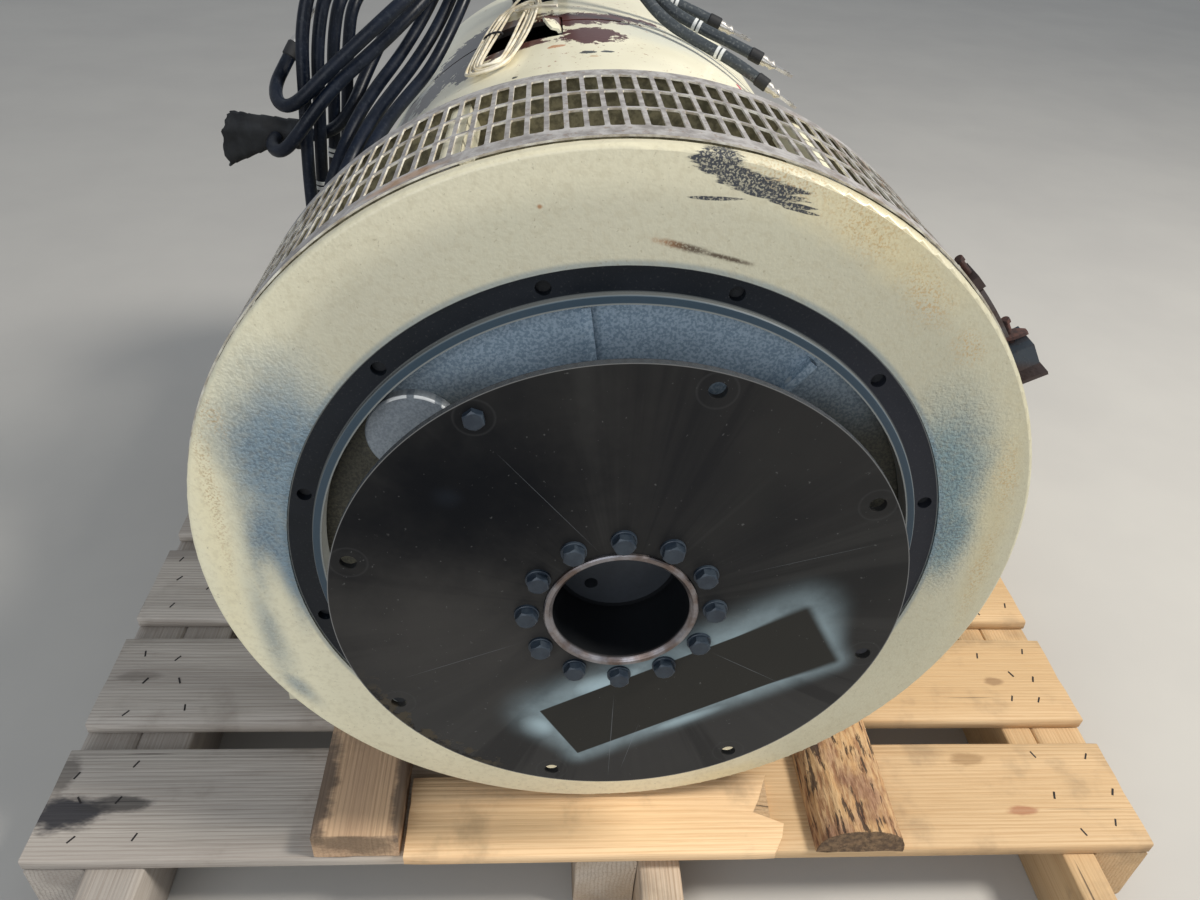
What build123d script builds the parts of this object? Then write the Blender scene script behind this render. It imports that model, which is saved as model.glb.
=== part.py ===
from build123d import *
from math import cos, pi, radians, sin
import os

# Generator end: the alternator of a generating set, stood on its pallet, without the engine.
# Millimetres. The shaft lies along +Y, away from the engine, and +Z is up.
# The origin is on the shaft's axis, in the engine flange's face.

FIT = 0.3                       # clearance round a piece that seats in a round place
SEAT_FIT = 0.05                 # the same where a shaft is shrunk into its seat

# Engine flange and front plate
FLANGE_R = 276.25
FLANGE_BORE_R = 248.0
FLANGE_THICK = 8.0
FLANGE_HOLES = 12
FLANGE_HOLE_R = 5.95
FLANGE_HOLE_CIRCLE_R = 265.1
SPIGOT_R = 255.59
SPIGOT_LENGTH = 5.0
COLLAR_R = 257.0                # neck of the flange, inside the front plate's bore
COLLAR_END = 16.0               # how far back that neck goes
PLATE_R = 357.0
PLATE_THICK = 8.0
PLATE_DISH = 8.0                # how much further back the plate is at its rim
PLATE_PROUD = 2.0               # the plate's inner edge stands in front of the flange's face
RIM_ROUND = 4.0
RIM_BACK = 16.0                 # rear edge of the plate's rim
RIM_STEP = 4.0                  # slope where the rim thins

# Screen over the fan's outlet
SCREEN_R = 359.0
SCREEN_THICK = 1.5
SCREEN_WIDTH = 169.0
SCREEN_GAP = 2.5                # between the plate's rim and the screen's front edge
SLOT_COLUMNS = 164
BAR_WIDTH = 4.8
FRONT_BORDER = 20.0
REAR_BORDER = 17.0
HOOP_WIDTH = 5.0
HOOP_THICK = 1.2
STRUTS = 8
STRUT_WIDTH = 16.0
STRUT_DEPTH = 20.0

# Frame
SHELL_R = 307.0
SHELL_THICK = 8.0
SHELL_RING_THICK = 10.0         # ring that closes the step between the screen and the shell
SEAM_Y = 654.0
SEAM_WIDTH = 6.0
SEAM_DEPTH = 3.0
SHELL_END = 925.0
HAND_HOLE_ANGLE = 108.5         # open hole across the seam, from +X towards the top
HAND_HOLE_WIDTH = 104.0
HAND_HOLE_FRONT = 574.0
HAND_HOLE_LENGTH = 112.0
OPENING_ANGLE = 104.0           # where the leads come out, behind that hole
OPENING_WIDTH = 84.0
OPENING_FRONT = 796.0
OPENING_LENGTH = 96.0
OPENING_CORNER = 12.0
GROMMET_THICK = 10.0            # rubber plate that fills the leads' opening
GROMMET_SINK = 4.0              # its face lies that much under the shell's top

# Stator
CORE_BORE_R = 200.0
CORE_FRONT = 250.0
CORE_LENGTH = 320.0
COIL_OVERHANG = 46.0
COIL_DEPTH = 58.0               # radial thickness of the coil ends
COIL_LIFT = 6.0                 # the coil ends start that much outside the core's bore
COIL_SWELL = 8.0                # and swell and round off by so much
COIL_ROUND = 12.0

# Rotor
DISC_R = 233.35
DISC_THICK = 6.0
DISC_FRONT = -60.0
DISC_HOLES = 8
DISC_HOLE_R = 6.75
DISC_HOLE_CIRCLE_R = 219.075
DISC_HOLE_START = 31.5          # degrees from +X, anticlockwise seen from the engine
DISC_BOLT_HOLE = 2              # which of those holes still has its bolt
HUB_BORE_R = 56.0
HUB_NOSE_R = 63.2
HUB_NOSE_PROUD = 3.0
HUB_NOSE_BEVEL = 3.0            # inside the nose ring
EDGE_BREAK = 1.0                # small bevel on machined edges
HUB_FLANGE_R = 92.0
HUB_FLANGE_THICK = 30.0
HUB_BARREL_R = 78.0
HUB_BORE_DEPTH = 63.0           # from the nose to the shaft's end
SHAFT_SEAT_R = 52.0
HUB_END = 60.0
HUB_BOLTS = 12
HUB_BOLT_CIRCLE_R = 76.7
HUB_BOLT_START = 2.5
BOLT_ACROSS_FLATS = 16.0
BOLT_HEAD_HEIGHT = 9.0          # with its washer
SHAFT_END_HOLE_R = 6.0
SHAFT_END_HOLE_CIRCLE_R = 34.3
SHAFT_END_HOLE_START = 233.0
SHAFT_END_HOLE_DEPTH = 26.0
SHAFT_MID_R = 60.0
SHAFT_REAR_R = 42.5
BEARING_R = 70.0
BEARING_LENGTH = 32.0
BEARING_RUNNING = 0.05          # radial clearance of the shaft in the bearing
ROTOR_R = 194.0
ROTOR_COIL_R = 168.0
ROTOR_COIL_OVERHANG = 40.0
ROTOR_COIL_INNER_R = 80.0
EXCITER_R = 110.0
EXCITER_LENGTH = 60.0
EXCITER_FRONT = 775.0

# Fan
FAN_FRONT = 22.0
FAN_R = 322.0
FAN_PLATE_THICK = 7.0
FAN_RIBS = 8
FAN_RIB_START = 9.0
FAN_RIB_WIDTH = 7.0
FAN_RIB_HEIGHT = 9.0
FAN_RIB_END_R = 238.0
FAN_RIB_GAP = 4.0               # from the hub's barrel to each rib
FAN_PAD_R = 38.0
FAN_PAD_CENTRE_R = 198.0
FAN_PAD_ANGLE = 150.0
FAN_PAD_HEIGHT = 6.0
FAN_BLADES = 8
FAN_BLADE_SPAN = 148.0          # from a blade's inner edge to its tip
FAN_BLADE_LEAN = 67.0           # degrees away from straight out, the tip ahead anticlockwise
FAN_BLADE_START = 62.6          # angle of the first blade's middle, from +X
FAN_BLADE_MIDDLE_R = 280.0
FAN_BLADE_LENGTH = 142.0
FAN_BLADE_THICK = 6.0

# Rear end
BRACKET_THICK = 16.0
BRACKET_RIM_R = 262.0
BRACKET_HUB_R = 104.0
BRACKET_SPOKES = 6
BRACKET_SPOKE_WIDTH = 34.0
GRILLE_THICK = 3.0
GRILLE_SLOTS = 36
GRILLE_SLOT_WIDTH = 12.0
GRILLE_EDGE = 14.0
GRILLE_LAP = 20.0               # the grille and spokes lap that far over the bracket's rim
CAP_R = 88.0
CAP_DEPTH = 22.0
CAP_ROUND = 10.0

# Feet
FOOT_BOTTOM = -340.0
FOOT_INNER_X = 215.0
FOOT_OUTER_X = 352.0
FOOT_FRONT = 125.0
FOOT_LENGTH = 440.0
FOOT_THICK = 10.0
FOOT_WEB_X = 262.0
FOOT_WEB_GAP = 6.0              # between the screen and the upright web behind it
FOOT_GUSSETS = 3
FOOT_WEB_TOP = -100.0
FOOT_HOLE_R = 11.0
FOOT_HOLE_X = 325.0
FOOT_HOLE_INSET = 60.0

# Screen's closing clamp, on the right flank: angles are degrees from +X towards the top
CLAMP_Y = 40.0
STRAP_START = 36.0
STRAP_SWEEP = 8.0
STRAP_THICK = 4.0
STRAP_WIDTH = 24.0
NUT_ANGLE = 45.05
NUT_LENGTH = 11.0
NUT_HEIGHT = 6.5
BOX_ANGLE = 32.1
BOX_LENGTH = 19.0
BOX_HEIGHT = 18.0
BOX_WIDTH = 30.0
BOX_WALL = 2.5
END_ANGLE = 28.7                # the screen's turned-out end
END_THICK = 3.0
END_HEIGHT = 22.5
LUG_ANGLE = 34.6
LUG_THICK = 4.0
LUG_HEIGHT = 12.0
CLAMP_BOLT_R = 3.5
UPPER_BOLT_LENGTH = 17.0
LOWER_BOLT_LENGTH = 24.0

# Pallet and packing
DECK_TOP = -378.0
DECK_LEFT = -592.0
DECK_LENGTH = 1219.0
BOARD_THICK = 16.0
BOARD_WIDTH = 136.0
BOARD_PITCH = 168.0
BOARDS = 7
DECK_FRONT = -50.0
TIMBER_HEIGHT = 90.0
FORWARD_REACH = 90.0            # how far the longer timbers run out in front of the deck
FLUSH_WIDTHS = (62.0, 68.0, 64.0)                   # left, middle and right
FORWARD_WIDTHS = (61.0, 45.0, 39.0)                 # each beside the flush one
MIDDLE_SHIFT = 38.5                                 # middle flush timber's left face, left of the deck's middle
PLANK_LEFT = -201.0
PLANK_LENGTH = 411.0
PLANK_FRONT = -60.0
PLANK_WIDTH = 96.0
PLANK_THICK = 15.0
PLANK_BREAK = 34.0              # how far the broken end runs back
CHOCK_LEFT = -295.0
CHOCK_WIDTH = 90.0
CHOCK_FRONT = -50.0
CHOCK_LENGTH = 640.0
LOG_LEFT = 240.0
LOG_WIDTH = 95.0
LOG_FRONT = -52.0
LOG_LENGTH = 640.0
LOG_FLAT = 19.0                 # half the width that the foot has pressed flat

# Leads: stranded cable that leaves the grommet in rows and columns
LEAD_R = 7.0
LEAD_COLUMNS = (-31.0, -10.5, 10.5, 31.0)           # across the grommet, from the left
LEAD_ROWS = (13.0, 35.0, 57.0, 79.0)                # back from the opening's front edge
LEAD_STRAIGHT = 42.0            # each lead's first run, straight out of the grommet
ARC_SHARE = 0.45                # of a corner's shorter run that its arc takes
LUG_BARREL_R = 6.5
LUG_BARREL = 18.0
LUG_PALM_WIDTH = 19.0
LUG_PALM_LENGTH = 20.0
LUG_PALM_THICK = 3.5
LUG_HOLE_R = 5.25
TAPED_RIGHT = -348.0            # bunch of lead ends wound with tape
TAPED_LENGTH = 88.0
TAPED_MIDDLE = (500.0, 198.0)   # y and z
TAPED_DEPTH = 32.0
TAPED_HEIGHT = 44.0
TAPED_ROUND = 13.0
HANK_ANGLE = 111.5              # thin signal wire, folded into a hank that lies on the shell
HANK_Y = 625.0
HANK_LENGTH = 320.0
HANK_WIDTH = 62.0
HANK_BAND = 15.0
HANK_THICK = 9.0
HANK_TURN = -10.0               # degrees, its rear end towards the top

# Sizes that follow from those above
CHOCK_HEIGHT = FOOT_BOTTOM - DECK_TOP
TIMBER_TOP = DECK_TOP - BOARD_THICK
GROUND = TIMBER_TOP - TIMBER_HEIGHT
DECK_RIGHT = DECK_LEFT + DECK_LENGTH
MIDDLE_TIMBER = DECK_LEFT + DECK_LENGTH / 2 - MIDDLE_SHIFT
DECK_DEPTH = (BOARDS - 1) * BOARD_PITCH + BOARD_WIDTH
RIM_FACE = PLATE_DISH - PLATE_PROUD                 # front of the plate at its rim
SCREEN_FRONT = RIM_BACK + SCREEN_GAP
SCREEN_END = SCREEN_FRONT + SCREEN_WIDTH
SCREEN_SEAT_R = SCREEN_R - SCREEN_THICK - FIT       # what the screen is wrapped round
SHELL_FRONT = SCREEN_END
SHELL_BORE_R = SHELL_R - SHELL_THICK
SLOT_LENGTH = SCREEN_WIDTH - FRONT_BORDER - REAR_BORDER
DISC_BACK = DISC_FRONT + DISC_THICK
SHAFT_FACE = DISC_FRONT - HUB_NOSE_PROUD + HUB_BORE_DEPTH
FAN_BACK = FAN_FRONT + FAN_PLATE_THICK
CORE_END = CORE_FRONT + CORE_LENGTH
GRILLE_FRONT = SHELL_END + BRACKET_THICK
BEARING_FRONT = GRILLE_FRONT - BEARING_LENGTH
SHAFT_END = GRILLE_FRONT - 4                        # the shaft stops inside the bearing
CLAMP_SEAT_R = SCREEN_R + FIT
STRAP_OUTER_R = CLAMP_SEAT_R + STRAP_THICK
GROMMET_FACE_R = SHELL_R - GROMMET_SINK
TAPED_FRONT = TAPED_MIDDLE[0] - TAPED_DEPTH / 2

os.makedirs("parts", exist_ok=True)


def front(y):
    """A sketch plane square to the shaft at that distance, seen from the engine: x right, y up."""
    return Plane.XZ.offset(-y)


def turn(outline):
    """Turns an outline of (radius, distance along the shaft) round the shaft, in the open part."""
    with BuildSketch(Plane.XY) as section:
        with BuildLine():
            Polyline(*outline, close=True)
        make_face()
    revolve(section.sketch, axis=Axis.Y)


def tube(outer_r, inner_r, start, length):
    """A straight tube round the shaft."""
    turn([(inner_r, start), (outer_r, start), (outer_r, start + length), (inner_r, start + length)])


def on_round(radius, angle, y):
    """A plane on a round surface: x along the shaft, y round it, z outwards."""
    out = (cos(radians(angle)), 0, sin(radians(angle)))
    return Plane(origin=(radius * out[0], y, radius * out[2]), x_dir=(0, 1, 0), z_dir=out)


def save(piece, label):
    piece.part.label = label
    export_step(piece.part, f"parts/{label}.step")


# Engine flange: a black machined ring with a spigot that pilots the engine's housing
with BuildPart() as engine_flange:
    turn([
        (FLANGE_BORE_R, -SPIGOT_LENGTH), (SPIGOT_R - EDGE_BREAK, -SPIGOT_LENGTH),
        (SPIGOT_R, EDGE_BREAK - SPIGOT_LENGTH),
        (SPIGOT_R, 0), (FLANGE_R, 0), (FLANGE_R, FLANGE_THICK), (COLLAR_R, FLANGE_THICK),
        (COLLAR_R, COLLAR_END), (FLANGE_BORE_R, COLLAR_END),
    ])
    with BuildSketch(front(0)):
        with PolarLocations(FLANGE_HOLE_CIRCLE_R, FLANGE_HOLES, start_angle=180 / FLANGE_HOLES):
            Circle(FLANGE_HOLE_R)
    extrude(amount=-FLANGE_THICK, mode=Mode.SUBTRACT)
save(engine_flange, "engine_flange")

# Front plate: slightly dished, from the flange out to a rounded rim, with a seat behind the flange
with BuildPart() as front_plate:
    with BuildSketch(Plane.XY):
        with BuildLine():
            Polyline(
                (FLANGE_R + FIT, -PLATE_PROUD), (PLATE_R, RIM_FACE), (PLATE_R, RIM_BACK),
                (PLATE_R - PLATE_THICK, RIM_BACK), (PLATE_R - PLATE_THICK - RIM_STEP, RIM_FACE + PLATE_THICK),
                (COLLAR_R + FIT, FLANGE_THICK + PLATE_THICK), (COLLAR_R + FIT, FLANGE_THICK),
                (FLANGE_R + FIT, FLANGE_THICK), close=True,
            )
        make_face()
        fillet(vertices().sort_by(Axis.X)[-2:].sort_by(Axis.Y)[0], RIM_ROUND)
    revolve(axis=Axis.Y)
    with BuildSketch(front(FLANGE_THICK)):
        with PolarLocations(FLANGE_HOLE_CIRCLE_R, FLANGE_HOLES, start_angle=180 / FLANGE_HOLES):
            Circle(FLANGE_HOLE_R)
    extrude(amount=-PLATE_THICK, mode=Mode.SUBTRACT)
save(front_plate, "front_plate")

# Struts that carry the front plate from the frame, inside the screen
STRUT_START = max(RIM_BACK, FLANGE_THICK + PLATE_THICK)
STRUT_END = SCREEN_END - SHELL_RING_THICK
STRUT_MID_R = SCREEN_SEAT_R - HOOP_THICK - FIT - 2 - STRUT_DEPTH / 2
with BuildPart() as screen_struts:
    with BuildSketch(front(STRUT_START)):
        with PolarLocations(STRUT_MID_R, STRUTS, start_angle=180 / STRUTS):
            Rectangle(STRUT_DEPTH, STRUT_WIDTH)
    extrude(amount=STRUT_START - STRUT_END)
save(screen_struts, "screen_struts")

# Screen: one sheet wrapped round the fan's outlet, slotted between its two plain borders
with BuildPart() as fan_screen:
    tube(SCREEN_R, SCREEN_R - SCREEN_THICK, SCREEN_FRONT, SCREEN_WIDTH)
    slot_width = 2 * SCREEN_R * sin(radians(180 / SLOT_COLUMNS)) - BAR_WIDTH
    with BuildSketch(front(SCREEN_FRONT + FRONT_BORDER)):
        with PolarLocations(SCREEN_R, SLOT_COLUMNS):
            Rectangle(4 * SCREEN_THICK, slot_width)
    extrude(amount=-SLOT_LENGTH, mode=Mode.SUBTRACT)
save(fan_screen, "fan_screen")

# Two hoops cross the slots and part them into three rows
with BuildPart() as screen_hoops:
    for row in (1, 2):
        hoop_start = SCREEN_FRONT + FRONT_BORDER + row * SLOT_LENGTH / 3 - HOOP_WIDTH / 2
        tube(SCREEN_SEAT_R, SCREEN_SEAT_R - HOOP_THICK, hoop_start, HOOP_WIDTH)
save(screen_hoops, "screen_hoops")

# Ring between the screen's rear edge and the shell
with BuildPart() as shell_ring:
    tube(SCREEN_SEAT_R, SHELL_BORE_R, SCREEN_END - SHELL_RING_THICK, SHELL_RING_THICK)
save(shell_ring, "shell_ring")


def shell_hole(angle, start, length, width):
    """Cuts a hole with rounded corners, which look outwards, from the shell that is open."""
    with BuildSketch(on_round(SHELL_BORE_R - width / 2, angle, start + length / 2)) as hole:
        RectangleRounded(length, width, OPENING_CORNER)
    extrude(hole.sketch, amount=width, mode=Mode.SUBTRACT)


def hand_hole():
    shell_hole(HAND_HOLE_ANGLE, HAND_HOLE_FRONT, HAND_HOLE_LENGTH, HAND_HOLE_WIDTH)


# Shell: rolled plate in two lengths, with a seam between them that the hand hole crosses
with BuildPart() as main_shell:
    tube(SHELL_R, SHELL_BORE_R, SHELL_FRONT, SEAM_Y - SEAM_WIDTH / 2 - SHELL_FRONT)
    hand_hole()
save(main_shell, "main_shell")

with BuildPart() as shell_seam:
    tube(SHELL_R - SEAM_DEPTH, SHELL_BORE_R, SEAM_Y - SEAM_WIDTH / 2, SEAM_WIDTH)
    hand_hole()
save(shell_seam, "shell_seam")

with BuildPart() as rear_shell:
    tube(SHELL_R, SHELL_BORE_R, SEAM_Y + SEAM_WIDTH / 2, SHELL_END - SEAM_Y - SEAM_WIDTH / 2)
    hand_hole()
    shell_hole(OPENING_ANGLE, OPENING_FRONT, OPENING_LENGTH, OPENING_WIDTH)
save(rear_shell, "rear_shell")

# Stator core pressed into the shell, with the coil ends rounded off at both ends
with BuildPart() as stator_core:
    tube(SHELL_BORE_R - FIT, CORE_BORE_R, CORE_FRONT, CORE_LENGTH)
save(stator_core, "stator_core")

for coil_name, coil_start, coil_tip in (
    ("front_coils", CORE_FRONT, CORE_FRONT - COIL_OVERHANG),
    ("rear_coils", CORE_END, CORE_END + COIL_OVERHANG),
):
    lean = (coil_tip - coil_start) / 3
    coil_inner = CORE_BORE_R + COIL_LIFT
    coil_outer = coil_inner + COIL_DEPTH
    with BuildPart() as coils:
        turn([
            (coil_inner, coil_start), (coil_outer, coil_start),
            (coil_outer + COIL_SWELL, coil_start + 2 * lean),
            (coil_outer + COIL_SWELL - COIL_ROUND, coil_tip), (coil_inner + COIL_ROUND, coil_tip),
            (coil_inner, coil_start + 2 * lean),
        ])
    save(coils, coil_name)

# Rotor: shaft, core, coil ends and exciter
with BuildPart() as shaft:
    turn([
        (0, SHAFT_FACE), (SHAFT_SEAT_R - SEAT_FIT, SHAFT_FACE), (SHAFT_SEAT_R - SEAT_FIT, HUB_END),
        (SHAFT_MID_R, HUB_END), (SHAFT_MID_R, EXCITER_FRONT), (SHAFT_REAR_R, EXCITER_FRONT),
        (SHAFT_REAR_R, SHAFT_END), (0, SHAFT_END),
    ])
    with BuildSketch(front(SHAFT_FACE)):
        with PolarLocations(SHAFT_END_HOLE_CIRCLE_R, 2, start_angle=SHAFT_END_HOLE_START):
            Circle(SHAFT_END_HOLE_R)
    extrude(amount=-SHAFT_END_HOLE_DEPTH, mode=Mode.SUBTRACT)
save(shaft, "shaft")

with BuildPart() as rotor_core:
    tube(ROTOR_R, SHAFT_MID_R + FIT, CORE_FRONT, CORE_LENGTH)
save(rotor_core, "rotor_core")

with BuildPart() as rotor_coils:
    for coil_start in (CORE_FRONT - ROTOR_COIL_OVERHANG, CORE_END):
        tube(ROTOR_COIL_R, ROTOR_COIL_INNER_R, coil_start, ROTOR_COIL_OVERHANG)
save(rotor_coils, "rotor_coils")

with BuildPart() as exciter:
    tube(EXCITER_R, SHAFT_REAR_R + FIT, EXCITER_FRONT, EXCITER_LENGTH)
save(exciter, "exciter")

# Drive hub on the shaft's front end: nose ring through the discs, flange behind them, barrel
nose_front = DISC_FRONT - HUB_NOSE_PROUD
with BuildPart() as drive_hub:
    turn([
        (HUB_BORE_R, nose_front + HUB_NOSE_BEVEL), (HUB_BORE_R + HUB_NOSE_BEVEL, nose_front),
        (HUB_NOSE_R - EDGE_BREAK, nose_front), (HUB_NOSE_R, nose_front + EDGE_BREAK),
        (HUB_NOSE_R, DISC_BACK), (HUB_FLANGE_R, DISC_BACK),
        (HUB_FLANGE_R, DISC_BACK + HUB_FLANGE_THICK), (HUB_BARREL_R, DISC_BACK + HUB_FLANGE_THICK),
        (HUB_BARREL_R, HUB_END), (SHAFT_SEAT_R, HUB_END), (SHAFT_SEAT_R, SHAFT_FACE),
        (HUB_BORE_R, SHAFT_FACE),
    ])
save(drive_hub, "drive_hub")

# Coupling discs: a stack of spring-steel laminations, bolted to the engine's flywheel at the rim
with BuildPart() as coupling_discs:
    tube(DISC_R, HUB_NOSE_R + FIT, DISC_FRONT, DISC_THICK)
    with BuildSketch(front(DISC_FRONT)):
        with PolarLocations(DISC_HOLE_CIRCLE_R, DISC_HOLES, start_angle=DISC_HOLE_START):
            Circle(DISC_HOLE_R)
    extrude(amount=-DISC_THICK, mode=Mode.SUBTRACT)
save(coupling_discs, "coupling_discs")

# Bolt heads, with their washers' thickness, round the hub's nose
with BuildPart() as hub_bolts:
    with BuildSketch(front(DISC_FRONT - BOLT_HEAD_HEIGHT)):
        with PolarLocations(HUB_BOLT_CIRCLE_R, HUB_BOLTS, start_angle=HUB_BOLT_START):
            RegularPolygon(BOLT_ACROSS_FLATS / 2, 6, major_radius=False)
    extrude(amount=-BOLT_HEAD_HEIGHT)
save(hub_bolts, "hub_bolts")

# The one bolt that is still in the discs' rim
with BuildPart() as rim_bolt:
    bolt_angle = DISC_HOLE_START + DISC_BOLT_HOLE * 360 / DISC_HOLES
    with BuildSketch(front(DISC_FRONT - BOLT_HEAD_HEIGHT)):
        with PolarLocations(DISC_HOLE_CIRCLE_R, 1, start_angle=bolt_angle):
            RegularPolygon(BOLT_ACROSS_FLATS / 2 + 1, 6, major_radius=False)
    extrude(amount=-BOLT_HEAD_HEIGHT)
    with BuildSketch(front(DISC_FRONT)):
        with PolarLocations(DISC_HOLE_CIRCLE_R, 1, start_angle=bolt_angle):
            Circle(DISC_HOLE_R - FIT)
    extrude(amount=-2 * DISC_THICK)
save(rim_bolt, "rim_bolt")

# Fan: a cast plate with ribs and pads in front and wide, leaning blades behind
with BuildPart() as fan:
    tube(FAN_R, HUB_BARREL_R + FIT, FAN_FRONT, FAN_PLATE_THICK)
    with BuildSketch(front(FAN_FRONT - FAN_RIB_HEIGHT)):
        rib_length = FAN_RIB_END_R - HUB_BARREL_R - FIT - FAN_RIB_GAP
        with PolarLocations(FAN_RIB_END_R - rib_length / 2, FAN_RIBS, start_angle=FAN_RIB_START):
            Rectangle(rib_length, FAN_RIB_WIDTH)
    extrude(amount=-FAN_RIB_HEIGHT)
    with BuildSketch(front(FAN_FRONT - FAN_PAD_HEIGHT)):
        with PolarLocations(FAN_PAD_CENTRE_R, 2, start_angle=FAN_PAD_ANGLE):
            Circle(FAN_PAD_R)
    extrude(amount=-FAN_PAD_HEIGHT)
    with BuildSketch(front(FAN_BACK)):
        with PolarLocations(FAN_BLADE_MIDDLE_R, FAN_BLADES, start_angle=FAN_BLADE_START):
            Rectangle(FAN_BLADE_SPAN, FAN_BLADE_THICK, rotation=FAN_BLADE_LEAN)
    extrude(amount=-FAN_BLADE_LENGTH)
save(fan, "fan")

# Rear bracket: rim, spokes and bearing boss, with the air inlet's grille and the bearing cap on it
with BuildPart() as rear_bracket:
    with BuildSketch(front(SHELL_END)):
        Circle(SHELL_R)
        Circle(BRACKET_RIM_R, mode=Mode.SUBTRACT)
        Circle(BRACKET_HUB_R)
        Circle(BEARING_R + FIT, mode=Mode.SUBTRACT)
        spoke_length = BRACKET_RIM_R - BRACKET_HUB_R + GRILLE_LAP
        with PolarLocations((BRACKET_RIM_R + BRACKET_HUB_R) / 2, BRACKET_SPOKES, start_angle=90):
            Rectangle(spoke_length, BRACKET_SPOKE_WIDTH)
    extrude(amount=-BRACKET_THICK)
save(rear_bracket, "rear_bracket")

with BuildPart() as rear_bearing:
    tube(BEARING_R, SHAFT_REAR_R + BEARING_RUNNING, BEARING_FRONT, BEARING_LENGTH)
save(rear_bearing, "rear_bearing")

with BuildPart() as inlet_grille:
    tube(BRACKET_RIM_R + GRILLE_LAP, CAP_R + FIT, GRILLE_FRONT, GRILLE_THICK)
    slot_inner = BRACKET_HUB_R + GRILLE_EDGE
    slot_outer = BRACKET_RIM_R - GRILLE_EDGE
    with BuildSketch(front(GRILLE_FRONT)):
        with PolarLocations((slot_inner + slot_outer) / 2, GRILLE_SLOTS):
            Rectangle(slot_outer - slot_inner, GRILLE_SLOT_WIDTH)
    extrude(amount=-GRILLE_THICK, mode=Mode.SUBTRACT)
save(inlet_grille, "inlet_grille")

with BuildPart() as bearing_cap:
    with BuildSketch(front(GRILLE_FRONT)):
        Circle(CAP_R)
    extrude(amount=-CAP_DEPTH)
    fillet(edges().group_by(Axis.Y)[-1], CAP_ROUND)
save(bearing_cap, "bearing_cap")

# Feet: a flat foot each side, with an upright web and gussets cut to the shell
for side, foot_name in ((-1, "foot_left"), (1, "foot_right")):
    with BuildPart() as foot:
        foot_middle = FOOT_FRONT + FOOT_LENGTH / 2
        with BuildSketch(Plane.XY.offset(FOOT_BOTTOM)):
            with Locations((side * (FOOT_INNER_X + FOOT_OUTER_X) / 2, foot_middle)):
                Rectangle(FOOT_OUTER_X - FOOT_INNER_X, FOOT_LENGTH)
        extrude(amount=FOOT_THICK)
        web_front = SCREEN_END + FOOT_WEB_GAP
        web_length = FOOT_FRONT + FOOT_LENGTH - web_front
        with BuildSketch(Plane.XY.offset(FOOT_BOTTOM + FOOT_THICK)):
            with Locations((side * FOOT_WEB_X, web_front + web_length / 2)):
                Rectangle(FOOT_THICK, web_length)
            gusset_pitch = (web_length - FOOT_THICK) / (FOOT_GUSSETS - 1)
            for gusset in range(FOOT_GUSSETS):
                gusset_y = web_front + FOOT_THICK / 2 + gusset * gusset_pitch
                with Locations((side * (FOOT_INNER_X + FOOT_WEB_X) / 2, gusset_y)):
                    Rectangle(FOOT_WEB_X - FOOT_INNER_X, FOOT_THICK)
        extrude(amount=FOOT_WEB_TOP - FOOT_BOTTOM - FOOT_THICK)
        with BuildSketch(front(FOOT_FRONT)):
            Circle(SHELL_R + FIT)
        extrude(amount=-FOOT_LENGTH, mode=Mode.SUBTRACT)
        with BuildSketch(Plane.XY.offset(FOOT_BOTTOM)):
            for hole_y in (FOOT_FRONT + FOOT_HOLE_INSET, FOOT_FRONT + FOOT_LENGTH - FOOT_HOLE_INSET):
                with Locations((side * FOOT_HOLE_X, hole_y)):
                    Circle(FOOT_HOLE_R)
        extrude(amount=FOOT_THICK, mode=Mode.SUBTRACT)
    save(foot, foot_name)

# Clamp that draws the screen's ends together: strap, blocks on the screen and the two bolts
with BuildPart() as clamp_strap:
    with BuildSketch(Plane.XY.rotated((0, -STRAP_START, 0))):
        with Locations(((CLAMP_SEAT_R + STRAP_OUTER_R) / 2, CLAMP_Y)):
            Rectangle(STRAP_THICK, STRAP_WIDTH)
    revolve(axis=Axis.Y, revolution_arc=-STRAP_SWEEP)
save(clamp_strap, "clamp_strap")

with BuildPart() as clamp_cleats:
    with BuildSketch(on_round(CLAMP_SEAT_R, NUT_ANGLE, CLAMP_Y)):
        Rectangle(STRAP_WIDTH, NUT_LENGTH)
    extrude(amount=NUT_HEIGHT)
    with BuildSketch(on_round(CLAMP_SEAT_R, BOX_ANGLE, CLAMP_Y)):
        Rectangle(BOX_WIDTH, BOX_LENGTH)
    extrude(amount=BOX_HEIGHT)
    with BuildSketch(on_round(CLAMP_SEAT_R + BOX_WALL, BOX_ANGLE, CLAMP_Y + BOX_WALL)):
        Rectangle(BOX_WIDTH, BOX_LENGTH - 2 * BOX_WALL)
    extrude(amount=BOX_HEIGHT - 2 * BOX_WALL, mode=Mode.SUBTRACT)
    with BuildSketch(on_round(CLAMP_SEAT_R, END_ANGLE, CLAMP_Y)):
        Rectangle(BOX_WIDTH, END_THICK)
    extrude(amount=END_HEIGHT)
save(clamp_cleats, "clamp_cleats")

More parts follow.
